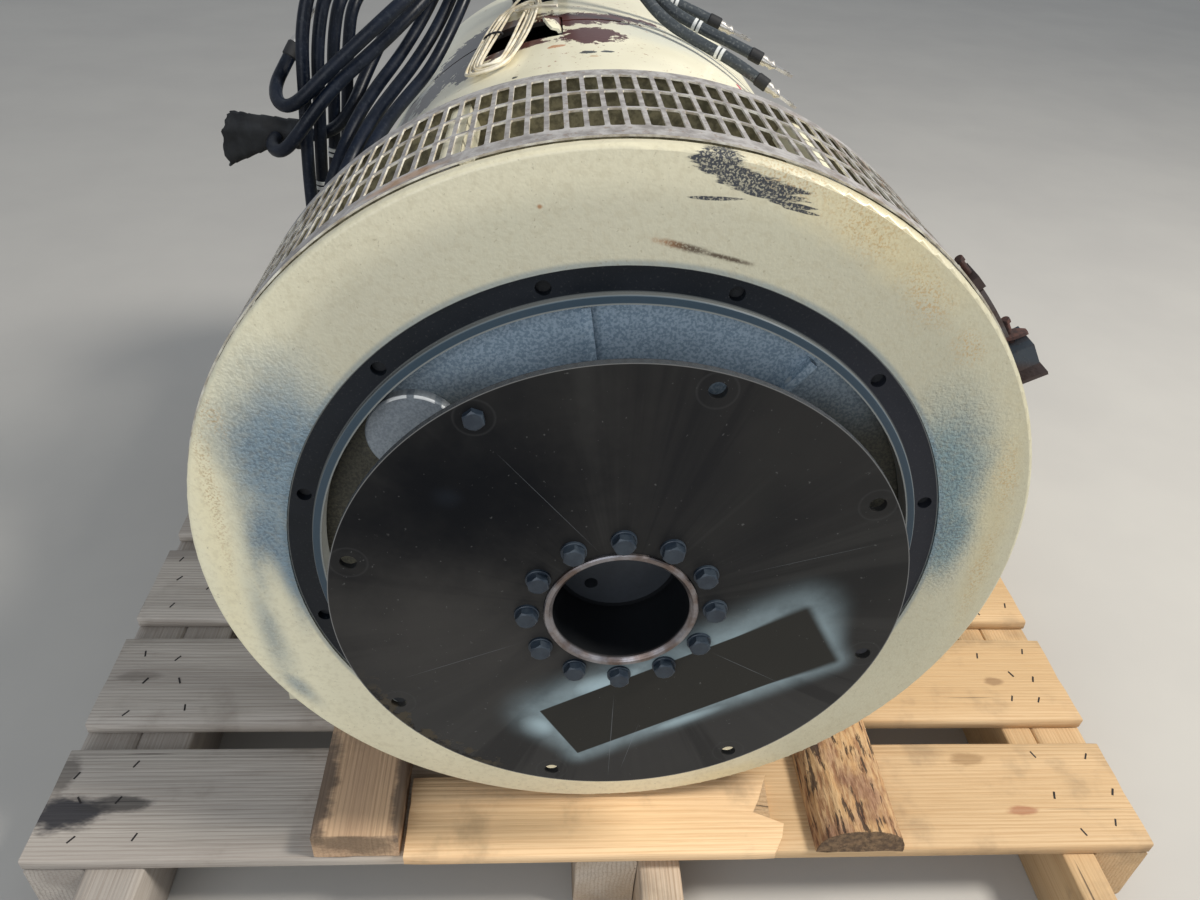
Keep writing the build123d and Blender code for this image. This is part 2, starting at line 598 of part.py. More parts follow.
lower_bolt_r = STRAP_OUTER_R + FIT + CLAMP_BOLT_R
upper_bolt_r = CLAMP_SEAT_R + FIT + CLAMP_BOLT_R
with BuildPart() as clamp_bolts:
    for bolt_r, block_angle, block_length, bolt_length in (
        (upper_bolt_r, NUT_ANGLE, NUT_LENGTH, UPPER_BOLT_LENGTH),
        (lower_bolt_r, BOX_ANGLE, BOX_LENGTH, LOWER_BOLT_LENGTH),
    ):
        on_block = on_round(bolt_r, block_angle, CLAMP_Y)
        block_side = on_block.origin + on_block.y_dir * (block_length / 2)
        with BuildSketch(Plane(origin=block_side, x_dir=on_block.x_dir, z_dir=on_block.y_dir)):
            Circle(CLAMP_BOLT_R)
        extrude(amount=bolt_length)
    with BuildSketch(on_round(lower_bolt_r, LUG_ANGLE, CLAMP_Y)):
        Rectangle(STRAP_WIDTH / 2, LUG_THICK)
    extrude(amount=LUG_HEIGHT)
save(clamp_bolts, "clamp_bolts")

# Pallet: deck boards across two sets of timbers, one set flush and one that runs out in front
with BuildPart() as deck_boards:
    with BuildSketch(Plane.XY.offset(TIMBER_TOP)):
        for board in range(BOARDS):
            board_middle = DECK_FRONT + BOARD_WIDTH / 2 + board * BOARD_PITCH
            with Locations((DECK_LEFT + DECK_LENGTH / 2, board_middle)):
                Rectangle(DECK_LENGTH, BOARD_WIDTH)
    extrude(amount=BOARD_THICK)
save(deck_boards, "deck_boards")

flush_left_faces = (DECK_LEFT, MIDDLE_TIMBER, DECK_RIGHT - FLUSH_WIDTHS[2])
forward_left_faces = (
    DECK_LEFT + FLUSH_WIDTHS[0], MIDDLE_TIMBER + FLUSH_WIDTHS[1],
    DECK_RIGHT - FLUSH_WIDTHS[2] - FORWARD_WIDTHS[2],
)
for timber_name, left_faces, widths, reach in (
    ("flush_timbers", flush_left_faces, FLUSH_WIDTHS, 0),
    ("forward_timbers", forward_left_faces, FORWARD_WIDTHS, FORWARD_REACH),
):
    with BuildPart() as skids:
        timber_length = DECK_DEPTH + reach
        with BuildSketch(Plane.XY.offset(GROUND)):
            for left_face, width in zip(left_faces, widths):
                with Locations((left_face + width / 2, DECK_FRONT - reach + timber_length / 2)):
                    Rectangle(width, timber_length)
        extrude(amount=TIMBER_HEIGHT)
    save(skids, timber_name)

# Loose plank under the front plate, with its right end broken off
with BuildPart() as loose_plank:
    with BuildSketch(Plane.XY.offset(DECK_TOP)):
        with BuildLine():
            plank_right = PLANK_LEFT + PLANK_LENGTH
            plank_back = PLANK_FRONT + PLANK_WIDTH
            Polyline(
                (PLANK_LEFT, PLANK_FRONT), (plank_right - PLANK_BREAK / 2, PLANK_FRONT),
                (plank_right, PLANK_FRONT + PLANK_WIDTH / 3),
                (plank_right - PLANK_BREAK, PLANK_FRONT + PLANK_WIDTH / 2),
                (plank_right - PLANK_BREAK / 3, plank_back), (PLANK_LEFT, plank_back), close=True,
            )
        make_face()
    extrude(amount=PLANK_THICK)
save(loose_plank, "loose_plank")

# Flat timber under the left foot
with BuildPart() as flat_chock:
    with BuildSketch(Plane.XY.offset(DECK_TOP)):
        with Locations((CHOCK_LEFT + CHOCK_WIDTH / 2, CHOCK_FRONT + CHOCK_LENGTH / 2)):
            Rectangle(CHOCK_WIDTH, CHOCK_LENGTH)
    extrude(amount=CHOCK_HEIGHT)
save(flat_chock, "flat_chock")

# Half-round log under the right foot, flat side down, slightly flattened where the foot bears on it
with BuildPart() as log_chock:
    log_middle = LOG_LEFT + LOG_WIDTH / 2
    with BuildSketch(front(LOG_FRONT)):
        with BuildLine():
            Line((LOG_LEFT, DECK_TOP), (LOG_LEFT + LOG_WIDTH, DECK_TOP))
            TangentArc((LOG_LEFT + LOG_WIDTH, DECK_TOP), (log_middle + LOG_FLAT, FOOT_BOTTOM), tangent=(0.2, 1))
            Line((log_middle + LOG_FLAT, FOOT_BOTTOM), (log_middle - LOG_FLAT, FOOT_BOTTOM))
            TangentArc((LOG_LEFT, DECK_TOP), (log_middle - LOG_FLAT, FOOT_BOTTOM), tangent=(-0.2, 1))
        make_face()
    extrude(amount=-LOG_LENGTH)
save(log_chock, "log_chock")

# Rubber grommet in the leads' way out, which the leads stand in
with BuildPart() as lead_grommet:
    grommet_middle = OPENING_FRONT + OPENING_LENGTH / 2
    with BuildSketch(on_round(GROMMET_FACE_R - GROMMET_THICK, OPENING_ANGLE, grommet_middle)):
        RectangleRounded(OPENING_LENGTH - 2 * FIT, OPENING_WIDTH - 2 * FIT, OPENING_CORNER)
    extrude(amount=GROMMET_THICK)
save(lead_grommet, "lead_grommet")

# Bunch of lead ends wound with tape, flattened at its open end
with BuildPart() as taped_ends:
    with BuildSketch(Plane.YZ.offset(TAPED_RIGHT)):
        with Locations(TAPED_MIDDLE):
            RectangleRounded(TAPED_DEPTH, TAPED_HEIGHT, TAPED_ROUND)
    extrude(amount=-TAPED_LENGTH)
save(taped_ends, "taped_ends")

# Hank of thin wire: the outer shape of its turns, a band that closes on itself
with BuildPart() as wire_hank:
    with BuildSketch(on_round(SHELL_R + FIT, HANK_ANGLE, HANK_Y)):
        SlotOverall(HANK_LENGTH, HANK_WIDTH, rotation=HANK_TURN)
        hank_inside = HANK_WIDTH - 2 * HANK_BAND
        SlotOverall(HANK_LENGTH - 2 * HANK_BAND, hank_inside, rotation=HANK_TURN, mode=Mode.SUBTRACT)
    extrude(amount=HANK_THICK)
save(wire_hank, "wire_hank")

# Each lead: its column and row in the grommet, and the points of its route past the first, straight stretch
LEADS = {
    "lead_hanging_1": (1, 0, [
        (-110, 780, 360), (-142, 732, 396), (-196, 642, 408), (-250, 556, 404), (-306, 480, 374),
        (-323, 461, 322), (-327, 455, 250), (-333, 453, 165), (-334, 452, 78), (-331, 455, -8),
    ]),
    "lead_hanging_2": (1, 1, [
        (-110, 802, 360), (-142, 759, 392), (-196, 672, 396), (-248, 584, 390), (-298, 500, 362),
        (-313, 482, 305), (-318, 476, 225), (-325, 477, 145), (-328, 481, 60), (-326, 483, -24),
    ]),
    "lead_hanging_3": (1, 2, [
        (-110, 824, 360), (-142, 784, 388), (-198, 702, 386), (-246, 616, 378), (-291, 537, 350),
        (-304, 520, 298), (-309, 514, 225), (-317, 512, 145), (-322, 515, 68), (-322, 518, -8),
    ]),
    "lead_hanging_4": (1, 3, [
        (-110, 846, 360), (-142, 808, 384), (-200, 732, 376), (-244, 652, 365), (-286, 572, 336),
        (-296, 558, 280), (-303, 552, 205), (-313, 552, 125), (-319, 556, 45), (-320, 559, -34),
    ]),
    "lead_looped_1": (2, 0, [
        (-76, 778, 367), (-86, 722, 390), (-104, 646, 402), (-132, 566, 400), (-166, 498, 388),
        (-208, 450, 358), (-254, 431, 320), (-296, 421, 284), (-324, 419, 257), (-341, 425, 249),
        (-354, 442, 252), (-358, 464, 262), (-350, 484, 278), (-338, 494, 298),
    ]),
    "lead_looped_2": (2, 1, [
        (-84, 800, 366), (-100, 746, 386), (-122, 672, 392), (-148, 596, 386), (-175, 528, 370),
        (-206, 475, 340), (-245, 452, 306), (-279, 431, 280), (-303, 420, 256), (-328, 416, 225),
        (-346, 423, 205), (-361, 438, 197), (-372, 461, 198), (-372, TAPED_FRONT, 198),
    ]),
    "lead_taped": (0, 3, [
        (-146, 851, 350), (-188, 806, 360), (-208, 730, 358), (-224, 652, 335), (-252, 585, 300),
        (-274, 537, 258), (-290, 504, 222), (-318, 495, 198), (TAPED_RIGHT, 495, 198),
    ]),
    "lead_shoulder_1": (0, 0, [
        (-127, 780, 356), (-140, 732, 362), (-146, 680, 366), (-152, 628, 354), (-177, 578, 303),
        (-200, 533, 266), (-221, 480, 250), (-236, 420, 239), (-250, 362, 220), (-273, 324, 175),
        (-304, 304, 108), (-320, 298, 32), (-322, 300, -44),
    ]),
    "lead_shoulder_2": (0, 1, [
        (-134, 804, 356), (-156, 758, 363), (-166, 704, 362), (-172, 652, 346), (-193, 600, 304),
        (-219, 548, 269), (-239, 490, 251), (-254, 428, 237), (-267, 368, 216), (-290, 340, 168),
        (-317, 330, 95), (-325, 334, 15), (-324, 338, -65),
    ]),
    "lead_shoulder_3": (0, 2, [
        (-140, 826, 355), (-172, 784, 362), (-184, 730, 362), (-192, 678, 346), (-212, 624, 308),
        (-238, 568, 272), (-260, 505, 250), (-275, 440, 230), (-293, 396, 188), (-314, 376, 120),
        (-324, 370, 45), (-323, 374, -30),
    ]),
    "lead_right_1": (3, 0, [
        (-48, 780, 374), (-34, 728, 390), (4, 676, 376), (40, 650, 350), (76, 627, 315),
        (122, 608, 295), (166, 588, 279), (204, 568, 258),
    ]),
    "lead_right_2": (3, 1, [
        (-38, 806, 376), (-8, 758, 394), (28, 706, 380), (54, 680, 352), (82, 657, 324),
        (127, 640, 305), (170, 627, 291), (203, 616, 278),
    ]),
    "lead_right_3": (3, 2, [
        (-34, 830, 378), (4, 794, 392), (34, 744, 380), (52, 712, 352), (78, 697, 330),
        (119, 689, 317), (157, 681, 303),
    ]),
}
LUGGED = [name for name in LEADS if name not in ("lead_looped_2", "lead_taped")]


def full_route(name):
    """The lead's points, from the grommet's face on."""
    column, row, rest = LEADS[name]
    stand = on_round(GROMMET_FACE_R, OPENING_ANGLE, OPENING_FRONT + LEAD_ROWS[row])
    start = stand.origin - stand.y_dir * LEAD_COLUMNS[column]
    return [start, start + stand.z_dir * LEAD_STRAIGHT] + [Vector(*point) for point in rest]


def corner_radii(points):
    """For each corner, the largest arc that its two runs leave room for."""
    radii = []
    for before, corner, after in zip(points, points[1:], points[2:]):
        run_in = corner - before
        run_out = after - corner
        half_turn = radians(run_in.get_angle(run_out) / 2)
        radii.append(ARC_SHARE * min(run_in.length, run_out.length) * cos(half_turn) / sin(half_turn))
    return radii


for lead_name in LEADS:
    lead_points = full_route(lead_name)
    lead_radii = corner_radii(lead_points)
    with BuildPart() as lead:
        with BuildLine() as lead_line:
            FilletPolyline(*lead_points, radius=lead_radii)
        with BuildSketch(Plane(origin=lead_points[0], z_dir=lead_line.line % 0)):
            Circle(LEAD_R)
        sweep()
    lead_length = sum(edge.length for edge in lead_line.edges())
    volume_share = lead.part.volume / (pi * LEAD_R ** 2 * lead_length)
    print(lead_name, round(lead_length), "volume share", round(volume_share, 4), [round(r) for r in lead_radii])
    save(lead, lead_name)

# Ring lugs crimped on the free ends, each with a barrel and a flat palm with its stud hole
with BuildPart() as lead_lugs:
    for lead_name in LUGGED:
        last_point = full_route(lead_name)[-1]
        way = (last_point - full_route(lead_name)[-2]).normalized()
        sideways = way.cross(Vector(0, 1, 0)).normalized()
        with BuildSketch(Plane(origin=last_point, z_dir=way)):
            Circle(LUG_BARREL_R)
        extrude(amount=LUG_BARREL)
        palm_start = last_point + way * (LUG_BARREL - LUG_PALM_THICK)
        with BuildSketch(Plane(origin=palm_start, x_dir=way, z_dir=sideways)):
            with Locations((LUG_PALM_LENGTH / 2, 0)):
                Rectangle(LUG_PALM_LENGTH, LUG_PALM_WIDTH)
            with Locations((LUG_PALM_LENGTH, 0)):
                Circle(LUG_PALM_WIDTH / 2)
                Circle(LUG_HOLE_R, mode=Mode.SUBTRACT)
        extrude(amount=LUG_PALM_THICK / 2, both=True)
save(lead_lugs, "lead_lugs")
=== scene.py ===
# %% [markdown]
# # A generator end on its pallet
#
# The object is the half of a generating set that makes the current: a rolled shell with its coils,
# a fan behind a slotted screen, a wide front plate, and the discs that an engine would turn. The
# solids come from the frame at their real size. This lesson gives them their finishes, and builds
# the small things that a solid model leaves out, such as bolt heads, cable lugs and worn boards.
#
# Lengths are written in millimetres, as on a workshop drawing, and `MM` turns them into metres. Only
# the studio and the steps and rings inside a finish are in metres, as Blender's own coordinates are.

# %% Load the frame
import math
import random

import bmesh
import bpy
from mathutils import Matrix, Vector, noise


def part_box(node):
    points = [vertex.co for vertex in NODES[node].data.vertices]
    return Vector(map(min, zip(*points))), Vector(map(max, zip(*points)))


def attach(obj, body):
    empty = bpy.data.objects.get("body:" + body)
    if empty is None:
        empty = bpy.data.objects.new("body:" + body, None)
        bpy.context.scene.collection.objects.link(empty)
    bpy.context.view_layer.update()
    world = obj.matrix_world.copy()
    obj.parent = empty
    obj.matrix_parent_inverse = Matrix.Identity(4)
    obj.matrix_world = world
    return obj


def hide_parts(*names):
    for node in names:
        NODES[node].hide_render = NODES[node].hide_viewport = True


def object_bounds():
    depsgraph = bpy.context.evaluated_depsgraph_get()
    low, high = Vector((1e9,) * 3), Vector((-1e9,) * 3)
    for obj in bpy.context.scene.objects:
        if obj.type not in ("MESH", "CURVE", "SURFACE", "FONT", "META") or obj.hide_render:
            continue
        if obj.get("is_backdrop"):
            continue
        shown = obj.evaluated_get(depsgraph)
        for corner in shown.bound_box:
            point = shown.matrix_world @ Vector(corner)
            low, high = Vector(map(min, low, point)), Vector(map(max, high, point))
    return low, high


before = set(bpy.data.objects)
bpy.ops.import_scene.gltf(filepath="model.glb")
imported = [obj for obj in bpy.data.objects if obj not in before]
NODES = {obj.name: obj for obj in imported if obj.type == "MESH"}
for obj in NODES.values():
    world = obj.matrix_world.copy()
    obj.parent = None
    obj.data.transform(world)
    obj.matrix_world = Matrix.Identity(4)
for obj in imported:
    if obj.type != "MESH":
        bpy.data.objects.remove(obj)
CAD_LOW, CAD_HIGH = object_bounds()
MM = 0.001
random.seed(7)
print("solids", len(NODES), "box", [round(v, 3) for v in (*CAD_LOW, *CAD_HIGH)])

# %% [markdown]
# ## The camera
#
# A photograph is matched by working out where its camera stood. Circles of known size, here the
# discs and the flange, give that place: the rows below are the camera's own axes, found once from
# the ellipses that those circles make in the picture. A matrix takes them as they are, which is
# surer than turning a camera by three angles.

# %% Place the camera
CAMERA_PLACE = Vector((-0.0733, -0.5791, 0.5385))
CAMERA_RIGHT = Vector((0.99720, -0.04883, 0.05673))
CAMERA_UP = Vector((-0.01715, 0.58867, 0.80819))
CAMERA_FORWARD = Vector((0.07285, 0.80690, -0.58618))
LENS = 27.29
SENSOR = 36.0

camera = bpy.data.objects.new("camera", bpy.data.cameras.new("camera"))
bpy.context.scene.collection.objects.link(camera)
camera.data.lens = LENS
camera.data.sensor_width = SENSOR
camera.data.clip_start = 0.02
axes = Matrix((CAMERA_RIGHT, CAMERA_UP, -CAMERA_FORWARD)).transposed().to_4x4()
camera.matrix_world = Matrix.Translation(CAMERA_PLACE) @ axes
bpy.context.scene.camera = camera
print("camera with a lens of", LENS, "mm at", [round(v, 3) for v in CAMERA_PLACE])

# %% [markdown]
# ## Floor and light
#
# The studio is plain: one pale floor, an even world and two soft lamps. The stronger lamp stands to
# the right and above, a little in front of the plate, as the sun does in the picture. It grazes the
# plate, which brings out the dimples of its paint, and the left flank lies in soft shade. The view
# transform is Standard, which shows colours about as written.

# %% Floor, world and lamps
FLOOR_SIZE = 14.0
FLOOR_MIDDLE = (0.0, 0.4, CAD_LOW.z)
WORLD_COLOUR = (0.86, 0.92, 1.0, 1.0)
WORLD_STRENGTH = 0.48
LAMPS = {
    # name: place, aim, size, watts, colour
    "key_lamp": ((2.7, -0.5, 3.1), (0.0, 0.15, -0.1), 0.9, 188.0, (1.0, 0.955, 0.88)),
    "fill_lamp": ((-1.2, -3.2, 1.4), (0.0, 0.1, 0.0), 3.0, 52.0, (0.93, 0.96, 1.0)),
}

bpy.ops.mesh.primitive_plane_add(size=FLOOR_SIZE, location=FLOOR_MIDDLE)
floor = bpy.context.object
floor.name = "floor"
floor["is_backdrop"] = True

world = bpy.data.worlds.new("studio")
bpy.context.scene.world = world
world.use_nodes = True
world.node_tree.nodes["Background"].inputs["Color"].default_value = WORLD_COLOUR
world.node_tree.nodes["Background"].inputs["Strength"].default_value = WORLD_STRENGTH

for lamp_name, (place, aim, size, watts, colour) in LAMPS.items():
    light = bpy.data.lights.new(lamp_name, "AREA")
    light.shape = "DISK"
    light.size = size
    light.energy = watts
    light.color = colour
    lamp = bpy.data.objects.new(lamp_name, light)
    bpy.context.scene.collection.objects.link(lamp)
    lamp.location = place
    lamp.rotation_mode = "QUATERNION"
    lamp.rotation_quaternion = (Vector(aim) - Vector(place)).to_track_quat("-Z", "Y")
bpy.context.scene.view_settings.view_transform = "Standard"
print("lamps", *LAMPS)

# %% [markdown]
# ## Shader nodes as sums
#
# A finish is a small tree of nodes. `add` makes one node and `plug` fills its inputs. A node's
# output is kept as a `Value`, which can be used in sums as a number can: `a * b + 0.5` makes the
# two nodes that work it out. Masks run from 0 to 1, so `a | b` is where either is, and `~a` is what
# a mask leaves. Colours are written 0 to 255, as a paint program shows them.


# %% A value that can be used in sums
class Value:
    """What a node gives out over the surface: a number, a vector or a colour."""

    def __init__(self, socket):
        self.socket = socket
        self.tree = socket.id_data

    def sum(self, operation, *others):
        """One sum on numbers, by the name that the Math node gives it."""
        return Value(add(self.tree, "Math", dict(enumerate((self, *others))), operation=operation).outputs[0])

    def __add__(self, other):
        return self.sum("ADD", other)

    def __sub__(self, other):
        return self.sum("SUBTRACT", other)

    def __mul__(self, other):
        return self.sum("MULTIPLY", other)

    def __or__(self, other):
        return self.sum("MAXIMUM", other)

    def __invert__(self):
        return self.sum("MULTIPLY_ADD", -1.0, 1.0)

    def step(self, low, high, start=0.0, end=1.0):
        """A soft step: start below low, end above high."""
        inputs = {"Value": self, "From Min": low, "From Max": high, "To Min": start, "To Max": end}
        return Value(add(self.tree, "MapRange", inputs, interpolation_type="SMOOTHSTEP").outputs["Result"])

    def vector(self, operation, other=(0.0, 0.0, 0.0)):
        """One sum on vectors; a length comes out as a number."""
        made = add(self.tree, "VectorMath", {0: self, 1: other}, operation=operation)
        return Value(made.outputs["Value" if operation == "LENGTH" else "Vector"])

    def turned(self, angle):
        """The vector turned about the shaft by an angle in radians."""
        inputs = {"Vector": self, "Axis": (0, 1, 0), "Angle": angle}
        return Value(add(self.tree, "VectorRotate", inputs).outputs[0])

    def parts(self):
        """Its x, y and z."""
        return [Value(socket) for socket in add(self.tree, "SeparateXYZ", {0: self}).outputs]

    def from_shaft(self):
        """How far a place is from the shaft's axis."""
        return self.vector("MULTIPLY", (1, 0, 1)).vector("LENGTH")

    def mix(self, below, above):
        """One colour laid over another where this mask is 1."""
        made = add(self.tree, "Mix", {0: self, 6: srgb(below), 7: srgb(above)}, data_type="RGBA")
        return Value(made.outputs[2])


# %% Colours and nodes
def srgb(tint):
    """The linear colour that nodes use, of one written 0 to 255; any other passes as it is."""
    if isinstance(tint, Value) or len(tint) == 4:
        return tint
    shares = [channel / 255 for channel in tint]
    return (*[v / 12.92 if v <= 0.04045 else ((v + 0.055) / 1.055) ** 2.4 for v in shares], 1.0)


def plug(tree, made, inputs):
    """Links each input to a Value, or sets it; underscores stand for spaces in the sockets' names."""
    for key, value in inputs.items():
        socket = made.inputs[key.replace("_", " ") if isinstance(key, str) else key]
        if isinstance(value, Value):
            tree.links.new(value.socket, socket)
        else:
            socket.default_value = value


def add(tree, kind, inputs=None, **settings):
    """Adds a shader node with its inputs and settings."""
    made = tree.nodes.new("ShaderNode" + kind)
    for key, value in settings.items():
        setattr(made, key, value)
    plug(tree, made, inputs or {})
    return made


# %% Textures and groups
def joined(tree, **parts):
    """A vector of the parts X, Y and Z; those not given are 0."""
    return Value(add(tree, "CombineXYZ", parts).outputs[0])


def cloudy(place, **settings):
    """Noise at a place."""
    return Value(add(place.tree, "TexNoise", {"Vector": place, **settings}).outputs["Fac"])


def waves(place, **settings):
    """Waves that run along Y."""
    made = add(place.tree, "TexWave", {"Vector": place, **settings}, bands_direction="Y")
    return Value(made.outputs["Fac"])


def new_group(name, outputs, **inputs):
    """A node group with named sockets: returns its tree, its inputs as Values, and its output node."""
    group = bpy.data.node_groups.new(name, "ShaderNodeTree")
    for key, value in inputs.items():
        kind = "NodeSocketVector" if isinstance(value, tuple) else "NodeSocketFloat"
        label = key.replace("_", " ")
        group.interface.new_socket(label, in_out="INPUT", socket_type=kind).default_value = value
    for label in outputs:
        group.interface.new_socket(label, in_out="OUTPUT", socket_type="NodeSocketFloat")
    sockets = group.nodes.new("NodeGroupInput").outputs
    given = {key: Value(sockets[key.replace("_", " ")]) for key in inputs}
    print("group", name, "gives", *outputs)
    return group, given, group.nodes.new("NodeGroupOutput")


# %% [markdown]
# ## Effects that several finishes share
#
# Five groups do most of the work. `speckle` scatters soft spots, `patch` marks one place with a
# ragged edge, `band` is a ring about a centre, `peel` is the dimpled skin of sprayed enamel, and
# `grain` is the long figure of sawn softwood. Each gives out masks and heights only, and each
# material decides what they mean.

# %% Group: speckle
SPECKLE, given, out = new_group(
    "speckle", ("Mask", "Value"), Vector=(0, 0, 0), Scale=100.0, Level=0.6, Softness=0.05, Detail=2.0
)
texture = cloudy(given["Vector"], Scale=given["Scale"], Detail=given["Detail"], Roughness=0.6)
mask = texture.step(given["Level"] - given["Softness"], given["Level"] + given["Softness"])
plug(SPECKLE, out, {"Mask": mask, "Value": texture})

# %% Group: patch
PATCH, given, out = new_group(
    "patch", ("Mask",), Vector=(0, 0, 0), Centre=(0, 0, 0), Reach=(0.1, 0.1, 0.1), Turn=0.0, Ragged=0.5,
    Grain=60.0, Softness=0.2, Stretch=(1, 1, 1)
)
turned = given["Vector"].vector("SUBTRACT", given["Centre"]).turned(given["Turn"].sum("RADIANS"))
stretched = turned.vector("MULTIPLY", given["Stretch"])
ragged = (cloudy(stretched, Scale=given["Grain"], Detail=4.0, Roughness=0.7) - 0.5) * given["Ragged"]
distance = turned.vector("DIVIDE", given["Reach"]).vector("LENGTH") + ragged
plug(PATCH, out, {"Mask": distance.step(~given["Softness"], 1.0, 1.0, 0.0)})

# %% Group: band, a ring about a line along Y
BAND, given, out = new_group(
    "band", ("Mask",), Vector=(0, 0, 0), Centre=(0, 0, 0), Radius=0.3, Width=0.001, Softness=0.0006
)
reach = given["Vector"].vector("SUBTRACT", given["Centre"]).from_shaft()
gap = (reach - given["Radius"]).sum("ABSOLUTE")
plug(BAND, out, {"Mask": gap.step(given["Width"], given["Width"] + given["Softness"], 1.0, 0.0)})

# %% Group: peel, the skin of sprayed enamel
PEEL, given, out = new_group("peel", ("Height",), Vector=(0, 0, 0), Scale=190.0)
dimples = cloudy(given["Vector"], Scale=given["Scale"], Detail=1.0)
runs = cloudy(given["Vector"], Scale=14.0, Detail=1.0)
plug(PEEL, out, {"Height": runs * 1.2 + dimples})

# %% Group: grain of sawn softwood, which runs along X
GRAIN, given, out = new_group(
    "grain", ("Rings", "Fibres", "Tone", "Cracks"), Vector=(0, 0, 0), Ring_Scale=26.0
)
squeezed = given["Vector"].vector("MULTIPLY", (0.07, 1.0, 1.0))
hairs = given["Vector"].vector("MULTIPLY", (7.0, 420.0, 420.0))
splits = given["Vector"].vector("MULTIPLY", (2.2, 95.0, 60.0))
plug(GRAIN, out, {
    "Rings": waves(squeezed, Scale=given["Ring_Scale"], Distortion=7.0, Detail=4.0, Detail_Scale=0.4,
                   Detail_Roughness=0.6),
    "Fibres": cloudy(hairs, Scale=1.0, Detail=3.0, Roughness=0.7),
    "Tone": cloudy(squeezed, Scale=9.0, Detail=3.0),
    "Cracks": cloudy(splits, Scale=1.0, Detail=2.0, Roughness=0.6).step(0.70, 0.74),
})

# %% [markdown]
# ## A finish as a recipe
#
# A `Finish` starts with one colour, and `lay` puts the next over it where a mask is, so a recipe
# reads from the ground to what came last. Much of what makes this object itself is where it is
# worn, and where light and shade are painted on, so `patch`, `zone` and `marks` take places and
# half sizes in millimetres. A zone on a front face has no depth of its own, and its reach along
# the shaft is made very long.

# %% Finishes
FAR = 1000.0


class Finish:
    """A material, its shader, and its colour so far."""

    def __init__(self, name, colour=None, **plain):
        self.material = bpy.data.materials.new(name)
        self.material.use_nodes = True
        self.tree = self.material.node_tree
        self.shader = self.tree.nodes["Principled BSDF"]
        self.colour = colour
        self.place = Value(add(self.tree, "TexCoord").outputs["Object"])
        self.x, self.y, self.z = self.place.parts()
        plug(self.tree, self.shader, plain)

    def use(self, group, **inputs):
        """Places a node group, and gives its outputs by name."""
        made = self.tree.nodes.new("ShaderNodeGroup")
        made.node_tree = group
        plug(self.tree, made, {"Vector": self.place, **inputs})
        return {socket.name: Value(socket) for socket in made.outputs}

    def spots(self, scale, level, softness, detail=2.0, **inputs):
        """Soft spots: noise above a level."""
        return self.use(SPECKLE, Scale=scale, Level=level, Softness=softness, Detail=detail, **inputs)["Mask"]

    def rough(self, scale, detail=2.0):
        """The noise itself, as a height."""
        return self.use(SPECKLE, Scale=scale, Detail=detail)["Value"]

    def peel(self, scale):
        return self.use(PEEL, Scale=scale)["Height"]

    def ring(self, radius, width, softness, centre=(0, 0, 0)):
        return self.use(BAND, Centre=centre, Radius=radius, Width=width, Softness=softness)["Mask"]

    def patch(self, centre, reach, turn=0.0, **edge):
        """One patch with a ragged edge."""
        edge.update(Centre=Vector(centre) * MM, Reach=Vector(reach) * MM, Turn=turn)
        return self.use(PATCH, **edge)["Mask"]

    def zone(self, rows, **edge):
        """One mask for patches on a front face; a row is x, z, half width, half height and turn."""
        masks = [self.patch((x, 0, z), (wide, FAR, high), turn, **edge) for x, z, wide, high, turn in rows]
        total = masks[0]
        for mask in masks[1:]:
            total = total | mask
        return total

    def lay(self, mask, tint, strength=1.0):
        """Puts a colour over what is there."""
        self.colour = (mask * strength).mix(self.colour, tint)

    def marks(self, rows, **edge):
        """Lays patches; a row is centre, half sizes, turn, strength and colour."""
        for centre, reach, turn, strength, tint in rows:
            self.lay(self.patch(centre, reach, turn, **edge), tint, strength)

    def done(self, height=None, depth=0.0, strength=1.0, **sockets):
        """Feeds the shader. Depth, in metres, is what a height of 1 stands for."""
        plug(self.tree, self.shader, {"Base Color": self.colour, **sockets})
        if height:
            bump = add(self.tree, "Bump", {"Height": height, "Distance": depth, "Strength": strength})
            plug(self.tree, self.shader, {"Normal": Value(bump.outputs["Normal"])})
        print("finish", self.material.name, "of", len(self.tree.nodes), "nodes")
        return self.material


def dress(finish, *names):
    """Gives CAD nodes a finish."""
    for name in names:
        mesh = NODES[name].data
        mesh.materials.clear()
        mesh.materials.append(finish)


# %% [markdown]
# ## Cream enamel
#
# The shell, the feet and the rear end wear one coat of cream enamel. It is never one colour: the
# sun bleaches it, dirt settles where the face looks up, and rust comes through as freckles. On top
# of the shell, round the open hand hole, it has flaked off in sheets with sharp, ragged edges, and
# the red-brown primer shows. On the left flank the cream is bluish grey and the primer darker, as
# painted shade. Inside, the shell is painted dark, as painted shade.

# %% Paint of the shell and the feet
CREAM = (246, 240, 212)
CREAM_DULL = (228, 222, 195)
PRIMER = (80, 36, 28)
# The darker primer is painted shade, for the flakes on the left flank.
PRIMER_IN_SHADE = (36, 24, 22)
STEEL_CHIP = (58, 64, 64)
